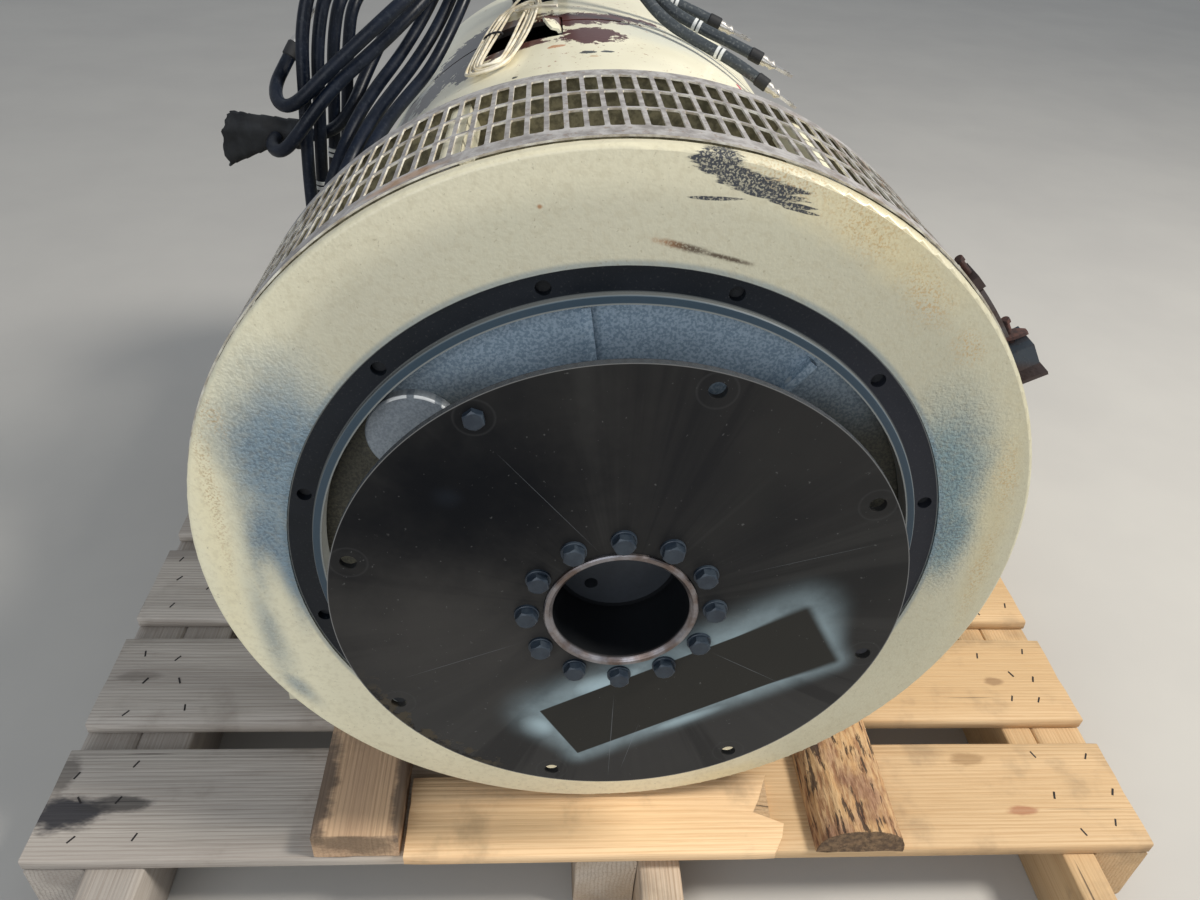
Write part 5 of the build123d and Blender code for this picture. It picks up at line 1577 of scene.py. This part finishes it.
# %% Make the leads with their lugs, sleeves and bands
TAGS = {
    # lead: how far before its end a pair of pale marker bands sits
    "lead_hanging_2": 167.0, "lead_hanging_3": 178.0, "lead_hanging_4": 187.0, "lead_shoulder_2": 210.0,
    "lead_right_1": 66.0, "lead_right_2": 86.0, "lead_right_3": 60.0,
}
TAPED_LEADS = ("lead_looped_2", "lead_taped")
SLEEVE_LENGTH = 17.0
SLEEVE_THICK = 1.1
BAND_LENGTH = 4.6
BAND_GAP = 1.6
BAND_THICK = 0.7

lead_lines = {}
lead_curves = {}
lead_fittings = {}
for lead_name in LEADS:
    lead = smooth_curve(lead_name + "_cable", lead_points(lead_name), LEAD_R)
    lead.data.materials.append(lead_sheath)
    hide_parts(lead_name)
    lead_curves[lead_name] = lead
    lead_lines[lead_name] = centre_line(lead)
    lead_fittings[lead_name] = []

for lead_name, points in lead_lines.items():
    if lead_name in TAPED_LEADS:
        continue
    control = lead_points(lead_name)
    lug = ring_lug(lead_name + "_lug", control[-1], (control[-1] - control[-2]).normalized())
    shape = bmesh.new()
    collar(shape, points, 0.0, SLEEVE_LENGTH, LEAD_R + SLEEVE_THICK, 1.5)
    sleeve = finish_piece(lead_name + "_sleeve", shape, rubber)
    lead_fittings[lead_name] += [lug, sleeve]
    if lead_name == "lead_hanging_1":
        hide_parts("lead_lugs")
for lead_name, distance in TAGS.items():
    shape = bmesh.new()
    for start in (distance, distance + BAND_LENGTH + BAND_GAP):
        collar(shape, lead_lines[lead_name], start, start + BAND_LENGTH, LEAD_R + BAND_THICK, 0.5)
    lead_fittings[lead_name].append(finish_piece(lead_name + "_tag", shape, tag_white))
print("lugs", len(LEADS) - len(TAPED_LEADS), "tags", len(TAGS))

# %% [markdown]
# ## The taped bundle
#
# Two leads end in a bunch that is wound with friction tape, flattened, and torn open at its tip.
# The turns of tape overlap like a screw thread, so the radius rises slowly along each turn and
# drops at its edge. At the tip the rings are pulled about by noise and then folded inwards.

# %% Tape winding
TAPED_LENGTH = 88.0
TAPED_MIDDLE = Vector((0, 500, 198))
TAPE_PITCH = 15.0
TAPE_STEP = 1.1
TAPED_HALVES = (15.0, 17.5)
TAPED_FLARE = (2.0, 7.0)
TAPED_SIDES = 48
TAPED_RINGS = 44
TIP_TEAR = 50.0
TIP_SAG = 30.6
TIP_PULL = 27.5
TIP_FOLD = ((1.0, 1.6), (8.0, 5.0), (16.0, 9.0))


def tape_ring(along, inset=0.0):
    """The bundle's section at that distance from its right end."""
    share = along / TAPED_LENGTH
    half_y, half_z = [half + flare * share for half, flare in zip(TAPED_HALVES, TAPED_FLARE)]
    points = []
    for index in range(TAPED_SIDES):
        turn = math.tau * index / TAPED_SIDES
        cosine, sine = math.cos(turn), math.sin(turn)
        lap = ((along / TAPE_PITCH + index / TAPED_SIDES) % 1.0) * TAPE_STEP
        crease = 1.6 * noise.noise(Vector((cosine * 1.6, along * 0.06, sine * 1.6)))
        dent = 6.0 * share * max(0.0, -math.cos(turn - 0.3)) ** 4
        tear = TIP_TEAR * noise.noise(Vector((cosine * 1.3 + 5, 0.0, sine * 1.3))) * max(0.0, share - 0.8)
        push = lap + crease - dent - 1.6 - inset
        sag = TIP_SAG * max(0.0, share - 0.45) * max(0.0, -sine)
        pulled = TIP_PULL * max(0.0, share - 0.6) * max(0.0, sine)
        points.append(Vector((
            TAPED_RIGHT - along + abs(tear) + pulled,
            TAPED_MIDDLE.y + (half_y + push) * cosine,
            TAPED_MIDDLE.z - sag + (half_z + push) * sine,
        )))
    return points


shape = bmesh.new()
rings = [tape_ring(TAPED_LENGTH * index / TAPED_RINGS) for index in range(TAPED_RINGS + 1)]
rings += [tape_ring(TAPED_LENGTH - back, inset) for back, inset in TIP_FOLD]
loft(shape, rings)
taped_bundle = finish_piece("taped_bundle", shape, tape_dull, sharp=55)
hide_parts("taped_ends")
for lead_name in TAPED_LEADS:
    lead_fittings[lead_name].append(taped_bundle)

for lead_name, lead in lead_curves.items():
    length = line_length(lead_lines[lead_name]) * MM
    lead_points(lead_name)[0] * MM
    print(lead_name, round(length, 3), "m")

# %% [markdown]
# ## The hank of signal wire
#
# A thin cream wire comes out beside the leads and is folded into a hank that lies on the shell, with
# a black tie near its front end. It is one curve: straight out of the grommet, five turns that
# run inwards a wire's width at a time, and a loose tail. The turns are worked out by a loop.

# %% Wind the hank
WIRE_R = 1.8
HANK_ANGLE = 111.5
HANK_Y = 625.0
HANK_LENGTH = 320.0
HANK_WIDTH = 62.0
HANK_TURN = -6.5
HANK_TURNS = 5
HANK_STEPS = 16
HANK_TAIL = ((96, -2, 9.5), (84, -20, 11.5), (70, -38, 11.0), (60, -60, 6.5))
LAP_ACROSS = 4.6
LAP_ALONG = 5.2
TIE_PLACE = (12.0, 20.0, 5.2)
TIE_HALF_WIDTH = 12.0
TIE_HALF_HEIGHT = 4.0
TIE_GAP = 3.2
TIE_STEPS = 28
TIE_R = 1.1
hank_out, hank_left = along_round(HANK_ANGLE)
lean = math.radians(HANK_TURN)
hank_long = FROM_ENGINE * math.cos(lean) + hank_left * math.sin(lean)
hank_across = TOWARDS_ENGINE * math.sin(lean) + hank_left * math.cos(lean)
hank_centre = polar(SHELL_R + 0.3, HANK_ANGLE, HANK_Y)


def on_hank(u, v, w):
    """A point of the hank: u along it, v across it to the left, w off the shell."""
    return hank_centre + hank_long * u + hank_across * v + hank_out * w


wire_exit = polar(GROMMET_FACE_R, GROMMET_ANGLE, OPENING_FRONT + 5)
straight = along_round(GROMMET_ANGLE)[0] * 14
wire_points = [wire_exit, wire_exit + straight, on_hank(172, -8, 16), on_hank(158, 10, 9)]
for index in range(HANK_TURNS * HANK_STEPS + 1):
    turn = math.tau * (index + 1.5) / HANK_STEPS
    lap = index / HANK_STEPS
    half = HANK_WIDTH / 2 + 4.5 - LAP_ACROSS * lap
    reach = HANK_LENGTH / 2 - 1.8 - LAP_ALONG * lap - half + 3.0 * math.sin(lap * 5)
    along, aside = math.cos(turn), math.sin(turn)
    u = reach * max(-1.0, min(1.0, 1.7 * along)) + half * along
    v = half * math.copysign(abs(aside) ** 0.75, aside) + 0.8 * math.sin(index * 1.7)
    wire_points.append(on_hank(u, v, 3.4 + 1.8 * math.sin(index * 0.9) ** 2 + 2.6 * math.sin(lap * 2.4) ** 2))
wire_points += [on_hank(*point) for point in HANK_TAIL]
hank = smooth_curve("signal_wire", wire_points, WIRE_R, segments=3)
hank.data.materials.append(wire_cream)
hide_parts("wire_hank")

shape = bmesh.new()
tie_u, tie_v, tie_w = TIE_PLACE
for shift in (-TIE_GAP / 2, TIE_GAP / 2):
    rings = []
    for index in range(TIE_STEPS):
        turn = math.tau * index / TIE_STEPS
        way = hank_across * -math.sin(turn) * TIE_HALF_WIDTH + hank_out * math.cos(turn) * tie_w
        v = tie_v + TIE_HALF_WIDTH * math.cos(turn)
        w = tie_w + TIE_HALF_HEIGHT * math.sin(turn)
        rings.append(ring(on_hank(tie_u + shift, v, w), way.normalized(), TIE_R, 8))
    loft(shape, rings, closed=True)
wire_tie = finish_piece("wire_tie", shape, tie_black)
wire_length = line_length(centre_line(hank)) * MM
print("signal wire", round(wire_length, 3), "m in", HANK_TURNS, "turns")

# %% Measure the whole and finish
low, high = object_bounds()
